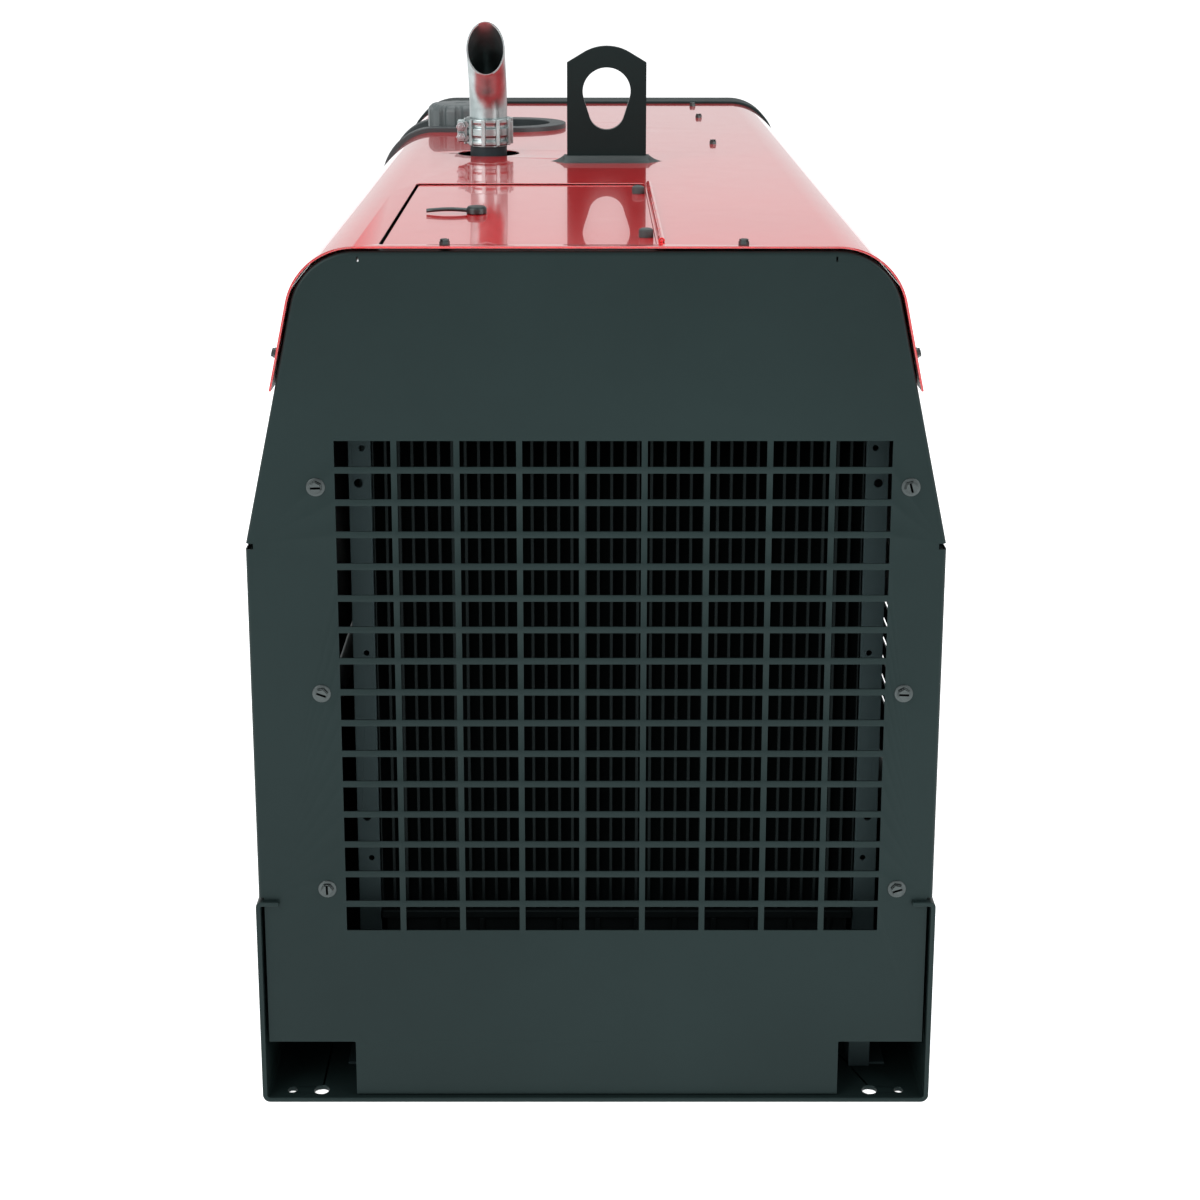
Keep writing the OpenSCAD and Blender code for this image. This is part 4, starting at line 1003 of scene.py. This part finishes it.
def build_fuel():
    """A moulded spill tray across the shoulder with a rolled rim, and a fluted quarter-turn cap."""
    soften("fuel_spill_tray", FINISH["plastic"], 1.4, 3)
    lo, hi = low("fuel_cap"), high("fuel_cap")
    x, y, r = (lo[0] + hi[0])/2, (lo[1] + hi[1])/2, (hi[0] - lo[0])/2
    h, bore = hi[2] - lo[2], 41

    def grips(a):
        """Twelve shallow flutes: the radius falls by a tenth where the cosine of twelve turns peaks."""
        return 1 - 0.10*np.clip(np.cos(12*a), 0, 1)**0.7

    body = lathe([(bore, 0.5), (46.5, 0), (r, 1.2), (r, h*0.72), (r - 1.5, h*0.86), (r - 6, h*0.97),
                  (r - 9, h), (10, h), (9, h - 1.6), (0.5, h - 1.6)], 192, (x, y, lo[2]), flute=grips)
    skirt = lathe([(0.5, h*0.42), (bore, h*0.42), (bore, 0.5), (bore + 0.5, 0)], 192, (x, y, lo[2]))
    handle = block((x - 34, y - 5, hi[2] - 4), (x + 34, y + 5, hi[2] - 0.2))
    put("fuel_cap_body", joined(body, skirt), "fuel_cap", FINISH["grey_plastic"], sharp=35)
    put("fuel_cap_grip", handle, "fuel_cap", FINISH["grey_plastic"], bevel=1.6, segments=3)
    soften("fuel_cap_insert", FINISH["grey_plastic"], 0.5)
    soften("fuel_tank", FINISH["plastic"], 4, 3)


# ---- sides ----

def build_sides():
    """Rear side sheets and the engine doors, slotted, with their leaf hinges and turn latches."""
    soften("side_panels", FINISH["coat"], 0.5)
    for side in ("right", "left"):
        soften(side + "_door", FINISH["coat"], 0.5)
        soften(side + "_door_latch", FINISH["zinc"], 0.9)
    soften("door_hinges", FINISH["zinc"], 0.5)


# ---- the control end ----

def build_front():
    """The moulded frame round the control end and the panel inside it."""
    soften("front_frame", FINISH["frame_coat"], 1.6, 3)
    soften("control_panel", FINISH["panel"], 0.5)
    soften("output_cover", FINISH["plastic"], 1.2, 2)
    soften("receptacle_lid", FINISH["plastic"], 1.2, 2)
    soften("output_studs", FINISH["brass"], 0.7)
    soften("receptacles", FINISH["plastic"], 0.8)


def build_knob(node):
    """A fluted knob on a skirt: shallow scallops round it, a domed top and a pale pointer line."""
    lo, hi = low(node), high(node)
    x, _, z = middle(node)
    y0 = high("control_panel")[1] + KNOB_GAP
    r, h = (hi[0] - lo[0])/2 - 3, hi[1] - y0

    def scallop(a):
        """Ten rounded flutes: the radius falls with the square of a raised cosine."""
        return 1 - 0.075*(0.5 + 0.5*np.cos(10*a))**2

    skirt = lathe([(0.5, 0), (r + 3, 0), (r + 3, 2.4), (r + 1.6, 4), (0.5, 4)], 96, (x, y0, z), ALONG)
    grip = lathe([(0.5, 3.8), (r, 3.8), (r, 6), (r*0.94, h*0.86), (r*0.86, h*0.97), (r*0.7, h),
                  (0.5, h - 0.6)], 160, (x, y0, z), ALONG, flute=scallop)
    put(node + "_grip", joined(skirt, grip, knob_stem(x, y0, z)), node, FINISH["plastic"], sharp=35)
    line = block((x - 0.9, hi[1] - 1.2, z + r*0.2), (x + 0.9, hi[1] - 0.02, z + r*0.72))
    put(node + "_pointer", line, node, FINISH["white"], stands_for=False)


def knob_stem(x, y0, z):
    """The spindle from a knob's base back through the panel."""
    return rod((x, y0 - 12.4, z), (x, y0 + 1, z), 4, 24, 0.5)


def build_selector():
    """A round plate with a tapered finger bar across it."""
    lo, hi = low("mode_selector"), high("mode_selector")
    x, _, z = middle("mode_selector")
    y0, r = high("control_panel")[1] + KNOB_GAP, (hi[0] - lo[0])/2
    base = lathe([(0.5, 0), (r, 0), (r, 3.4), (r - 1.6, 5.6), (r - 4, 6), (0.5, 6)], 96, (x, y0, z), ALONG)
    rows = []
    for t in np.linspace(0, 1, 8):
        loop = rect(-6 + 1.6*t, -r + 2.5*t, 6 - 1.6*t, r - 2.5*t, 3.2, 5)
        rows.append(np.column_stack([x + loop[:, 0], np.full(len(loop), y0 + 4 + (hi[1] - y0 - 4)*t),
                                     z + loop[:, 1]]))
    shape = joined(base, solid(rows), knob_stem(x, y0, z))
    put("selector_bar", shape, "mode_selector", FINISH["plastic"], bevel=0.8)
    mark = block((x - 0.8, hi[1] - 1, z + r*0.3), (x + 0.8, hi[1] - 0.02, z + r*0.8))
    put("selector_mark", mark, "mode_selector", FINISH["white"], stands_for=False)


def build_gauges():
    """Four dials under raised rims with a scale of ticks and a pointer, and six breaker buttons below."""
    face = high("control_panel")[1]
    gauge_x, gauge_z, breaker_z = (-150, -50, 50, 150), 770, 560
    rim = [(26, 0), (30, 0), (30, 5), (29, 7.4), (27.6, 8), (26.6, 7.2), (26, 4.6)]
    rims, dials, ticks, buttons, glasses = [], [], [], [], []

    def post(x, near, far, r, n, bevel=0.0):
        """A round bar at a gauge's middle, between two heights over the panel."""
        return rod((x, face + near, gauge_z), (x, face + far, gauge_z), r, n, bevel)

    for x in gauge_x:
        at = (x, face, gauge_z)
        rims.append(lathe(rim, 96, at, ALONG))
        dials.append(post(x, 0, 3.4, 26.4, 64, 0.3))
        for k in range(11):
            size = 3.6 if k % 5 == 0 else 2.2
            tick = block((-0.35, 3.3, 20 - size), (0.35, 3.7, 20))
            ticks.append(turned(tick, math.radians(-130 + 26*k), ALONG, at))
        ticks.append(turned(block((-0.6, 3.8, -5), (0.6, 4.4, 18)), math.radians(-118), ALONG, at))
        ticks.append(post(x, 3.3, 4.8, 2.4, 24, 0.3))
        glasses.append(post(x, 5.2, 6.2, 26.2, 48))
    for i in range(6):
        buttons.append(lathe([(0.5, 0), (8, 0), (8, 1.6), (5.4, 2.4), (5.2, 5), (4.4, 6), (0.5, 6)], 40,
                             (-70 + 28*i, face, breaker_z), ALONG))
    put("gauge_rims", joined(*rims, *buttons), "gauges", FINISH["plastic"], weld=False)
    put("gauge_dials", joined(*dials), "gauges", FINISH["dial"])
    put("gauge_marks", joined(*ticks), "gauges", FINISH["plastic"], weld=False)
    put("gauge_glass", joined(*glasses), "gauges", FINISH["lens"], stands_for=False)


def build_controls():
    """Knobs, selector and gauges, the run switch's ball-ended lever and the start button's cap."""
    build_knob("output_knob")
    build_knob("arc_knob")
    build_selector()
    build_gauges()
    face = high("control_panel")[1]
    at = (-130, face, 660)
    lever = lathe([(0.4, 0), (2.4, 0), (2.9, 16), (3.4, 20), (3.2, 22.6), (1.6, 23.8), (0.3, 24)], 40,
                  at, ALONG)
    ball = lathe([(0.3, -5.4), (2.6, -4.8), (4.5, -3.1), (5.4, 0), (4.5, 3.1), (2.8, 4.7), (0.3, 5.2)], 40,
                 at, ALONG)
    put("switch_lever", joined(lever, ball), "run_switch", FINISH["zinc"])
    back = low("start_button")[1] - face
    x, _, z = middle("start_button")
    cap = lathe([(0.5, back), (8.9, back), (8.9, 7), (13, 7), (13, 12.4), (12, 14.4), (9, 15), (0.5, 15)], 64,
                (x, face, z), ALONG)
    put("start_cap", cap, "start_button", FINISH["red_button"])


# ---- the machinery inside ----

def build_fan():
    """Eight curved blades on a hub: each blade's pitch eases towards its tip and its section is bowed."""
    lo, hi = low("fan"), high("fan")
    (x, _, z), tip = middle("fan"), (hi[0] - lo[0])/2
    blades, root, thick, steps, points = 8, 52, 1.8, 12, 11
    chord = np.linspace(-1, 1, points)
    bow = 3.2*(1 - chord**2)
    shapes = []
    for i in range(blades):
        rows = []
        for t in np.linspace(0, 1, steps):
            pitch = math.radians(42 - 14*t)
            c, s = math.cos(pitch), math.sin(pitch)
            across = chord*(27 + 3*t - 8*t**6)
            top = np.column_stack([across*c - bow*s, across*s + bow*c])
            loop = np.vstack([top, top[::-1] - [-thick*s, thick*c]])
            rows.append(np.column_stack([loop, np.full(len(loop), root + (tip - 4 - root)*t)]))
        shapes.append(turned(solid(rows), math.radians(360/blades*i), ALONG, (x, -594, z)))
    hub = lathe([(0.5, 0), (44, 0), (56, 5), (60, 12), (60, 42), (0.5, 42)], 96, (x, lo[1], z), ALONG)
    shaft = rod((x, -580, z), (x, hi[1], z), 12, 48, 1)
    pulley = lathe([(0.5, 0), (55, 0), (55, 2), (49, 6), (49, 18), (55, 22), (55, 24), (0.5, 24)], 96,
                   (x, low("drive_belt")[1] - 1, z), ALONG)
    put("fan_blades", joined(*shapes), "fan", FINISH["plastic"], weld=False)
    put("fan_hub", hub, "fan", FINISH["plastic"], bevel=1)
    put("fan_drive", joined(shaft, pulley), "fan", FINISH["steel"], bevel=0.6)


def build_inside():
    """Engine, generator, silencer and frame parts: softened copies with their own finishes."""
    build_fan()
    finishes = {
        "base_rails": ("base_coat", 2.0), "rubber_mounts": ("rubber", 1.0), "lift_frame": ("base_coat", 2.5),
        "bulkhead": ("coat", 0.5), "muffler": ("hot_black", 2.0), "exhaust_downpipe": ("hot_black", 1.0),
        "radiator_cap": ("zinc", 1.2), "fan_shroud": ("plastic", 1.5), "coolant_hoses": ("rubber", 1.0),
        "engine_block": ("iron", 4.0), "valve_cover": ("pressed", 6.0), "oil_pan": ("pressed", 3.0),
        "air_cleaner": ("plastic", 4.0), "crankshaft": ("steel", 1.5), "drive_belt": ("rubber", 1.5),
        "alternator": ("aluminium", 3.0), "alternator_pulley": ("steel", 1.0),
        "generator_stator": ("iron", 2.5), "generator_rotor": ("copper", 2.0), "battery": ("plastic", 3.0),
        "power_module": ("aluminium", 1.0),
    }
    for node, (finish, bevel) in finishes.items():
        soften(node, FINISH[finish], bevel)


# ---- stage ----

def build_world():
    """A reflected sky from pale at the horizon to grey above. The camera itself sees plain white."""
    world = bpy.data.worlds.new("studio")
    world.use_nodes = True
    tree = world.node_tree
    way = tree.nodes.new("ShaderNodeTexCoord")
    split = tree.nodes.new("ShaderNodeSeparateXYZ")
    sky = tree.nodes.new("ShaderNodeValToRGB")
    sky.color_ramp.elements[0].position, sky.color_ramp.elements[0].color = 0.02, (0.78, 0.78, 0.78, 1)
    sky.color_ramp.elements[1].position, sky.color_ramp.elements[1].color = 0.6, (0.34, 0.35, 0.36, 1)
    reflected = tree.nodes["Background"]
    white = tree.nodes.new("ShaderNodeBackground")
    white.inputs["Color"].default_value = (1, 1, 1, 1)
    seen, either = tree.nodes.new("ShaderNodeLightPath"), tree.nodes.new("ShaderNodeMixShader")
    tree.links.new(way.outputs["Generated"], split.inputs["Vector"])
    tree.links.new(split.outputs["Z"], sky.inputs["Fac"])
    tree.links.new(sky.outputs["Color"], reflected.inputs["Color"])
    tree.links.new(seen.outputs["Is Camera Ray"], either.inputs["Fac"])
    tree.links.new(reflected.outputs["Background"], either.inputs[1])
    tree.links.new(white.outputs["Background"], either.inputs[2])
    tree.links.new(either.outputs["Shader"], tree.nodes["World Output"].inputs["Surface"])
    bpy.context.scene.world = world


def build_ground():
    """A pale glowing ground, large enough to fill the view."""
    m = Nodes("studio_ground")
    tone = [(0.3, (0.93, 0.93, 0.93)), (0.7, (0.96, 0.96, 0.96))]
    m.use("Base Color", m.ramp(m.noise(0.6, 2), tone))
    m.set(Roughness=0.9, Emission_Color=(1, 1, 1, 1), Emission_Strength=0.8)
    reach, drop = 60, -0.0005
    points = [(-reach, -reach, drop), (reach, -reach, drop), (reach, reach, drop), (-reach, reach, drop)]
    mesh = bpy.data.meshes.new("ground")
    mesh.from_pydata(points, [], [[0, 1, 2, 3]])
    mesh.materials.append(m.material)
    floor = bpy.data.objects.new("ground", mesh)
    bpy.context.scene.collection.objects.link(floor)


def build_lamps():
    """Three soft lamps: key and fill from the radiator end's two sides, and one above."""
    lamps = (
        ("key", (-2.4, -2.6, 2.6), (0, -0.4, 0.5), 2.6, 95),
        ("fill", (2.8, -2.2, 2.2), (0, -0.4, 0.5), 2.6, 65),
        ("top", (0, 0.6, 3.6), (0, 0, 0.9), 3.2, 70),
    )
    for name, at, aim, size, watts in lamps:
        lamp = bpy.data.lights.new(name, "AREA")
        lamp.shape, lamp.size, lamp.energy = "SQUARE", size, watts
        ob = bpy.data.objects.new(name, lamp)
        ob.location = at
        ob.rotation_euler = (Vector(aim) - Vector(at)).to_track_quat("-Z", "Y").to_euler()
        bpy.context.scene.collection.objects.link(ob)


def build_stage():
    """White surroundings, the lamps and the camera."""
    scene = bpy.context.scene
    s = scene.welder_stage
    scene.view_settings.view_transform = "Standard"
    build_world()
    build_ground()
    build_lamps()
    camera = bpy.data.cameras.new("camera")
    camera.lens, camera.sensor_width = s.lens, 36.0
    camera.shift_y, camera.shift_x = s.shift, 0.010
    camera.dof.use_dof = False
    camera.clip_end = 100
    ob = bpy.data.objects.new("camera", camera)
    ob.location = (-0.008, FACE_Y*MM - s.stand_back, s.eye_height)
    ob.rotation_euler = (math.radians(90) - s.tilt, 0, 0)
    scene.collection.objects.link(ob)
    scene.camera = ob


# ---- operators, panel and registration ----

def operator(key, label, text, build):
    """An Operator that builds one group of pieces."""

    def execute(self, context):
        """Make the finishes once, then the group's pieces."""
        if not FINISH:
            make_finishes()
        build()
        return {"FINISHED"}

    return type("WELDER_OT_" + key, (bpy.types.Operator,), {
        "bl_idname": "welder." + key, "bl_label": label, "bl_description": text,
        "bl_options": {"REGISTER", "UNDO"}, "execute": execute})


OPERATORS = [
    operator("hood", "Hood", "Red sheet metal hood", build_hood),
    operator("filler_door", "Filler door", "Door over the radiator cap, with its lever", build_filler_door),
    operator("screws", "Screws", "Slotted hex washer screws", build_screws),
    operator("end_panel", "Radiator end", "End sheet with its grille", build_end_panel),
    operator("core", "Radiator core", "Tubes and fins", build_core),
    operator("tanks", "Header tanks", "Ribbed tanks and filler neck", build_tanks),
    operator("brackets", "Radiator brackets", "Folded side brackets", build_brackets),
    operator("base", "Base", "Folded base tray", build_base),
    operator("stack", "Exhaust stack", "Bent pipe and saddle clamp", build_stack),
    operator("lifting_eye", "Lifting eye", "Eye plate and boot", build_lifting_eye),
    operator("fuel", "Fuel filler", "Spill tray, cap and tank", build_fuel),
    operator("sides", "Sides", "Side sheets, doors and latches", build_sides),
    operator("front", "Control end", "Frame, panel and covers", build_front),
    operator("controls", "Controls", "Knobs, gauges and switches", build_controls),
    operator("inside", "Machinery", "Engine, generator and frame", build_inside),
    operator("stage", "Stage", "Ground, lights and camera", build_stage),
]


class WELDER_PT_panel(bpy.types.Panel):
    bl_label = "Welder"
    bl_space_type = "VIEW_3D"
    bl_region_type = "UI"
    bl_category = "Welder"

    def draw(self, context):
        """Every setting, then a button for each group."""
        layout = self.layout
        scene = context.scene
        groups = ((scene.welder_case, CaseSettings), (scene.welder_cooling, CoolingSettings),
                  (scene.welder_stage, StageSettings))
        for settings, names in groups:
            box = layout.box()
            for key in names.__annotations__:
                box.prop(settings, key)
        for cls in OPERATORS:
            layout.operator(cls.bl_idname)


CLASSES = [CaseSettings, CoolingSettings, StageSettings, *OPERATORS, WELDER_PT_panel]


def register():
    """Give Blender the settings, operators and panel."""
    for cls in CLASSES:
        bpy.utils.register_class(cls)
    bpy.types.Scene.welder_case = PointerProperty(type=CaseSettings)
    bpy.types.Scene.welder_cooling = PointerProperty(type=CoolingSettings)
    bpy.types.Scene.welder_stage = PointerProperty(type=StageSettings)


def unregister():
    """Take them away again."""
    del bpy.types.Scene.welder_stage, bpy.types.Scene.welder_cooling, bpy.types.Scene.welder_case
    for cls in reversed(CLASSES):
        bpy.utils.unregister_class(cls)


def main():
    """Build every piece in order."""
    register()
    for cls in OPERATORS:
        group, name = cls.bl_idname.split(".")
        if getattr(getattr(bpy.ops, group), name)() != {"FINISHED"}:
            raise RuntimeError(name + " did not finish")


if __name__ == "__main__":
    main()
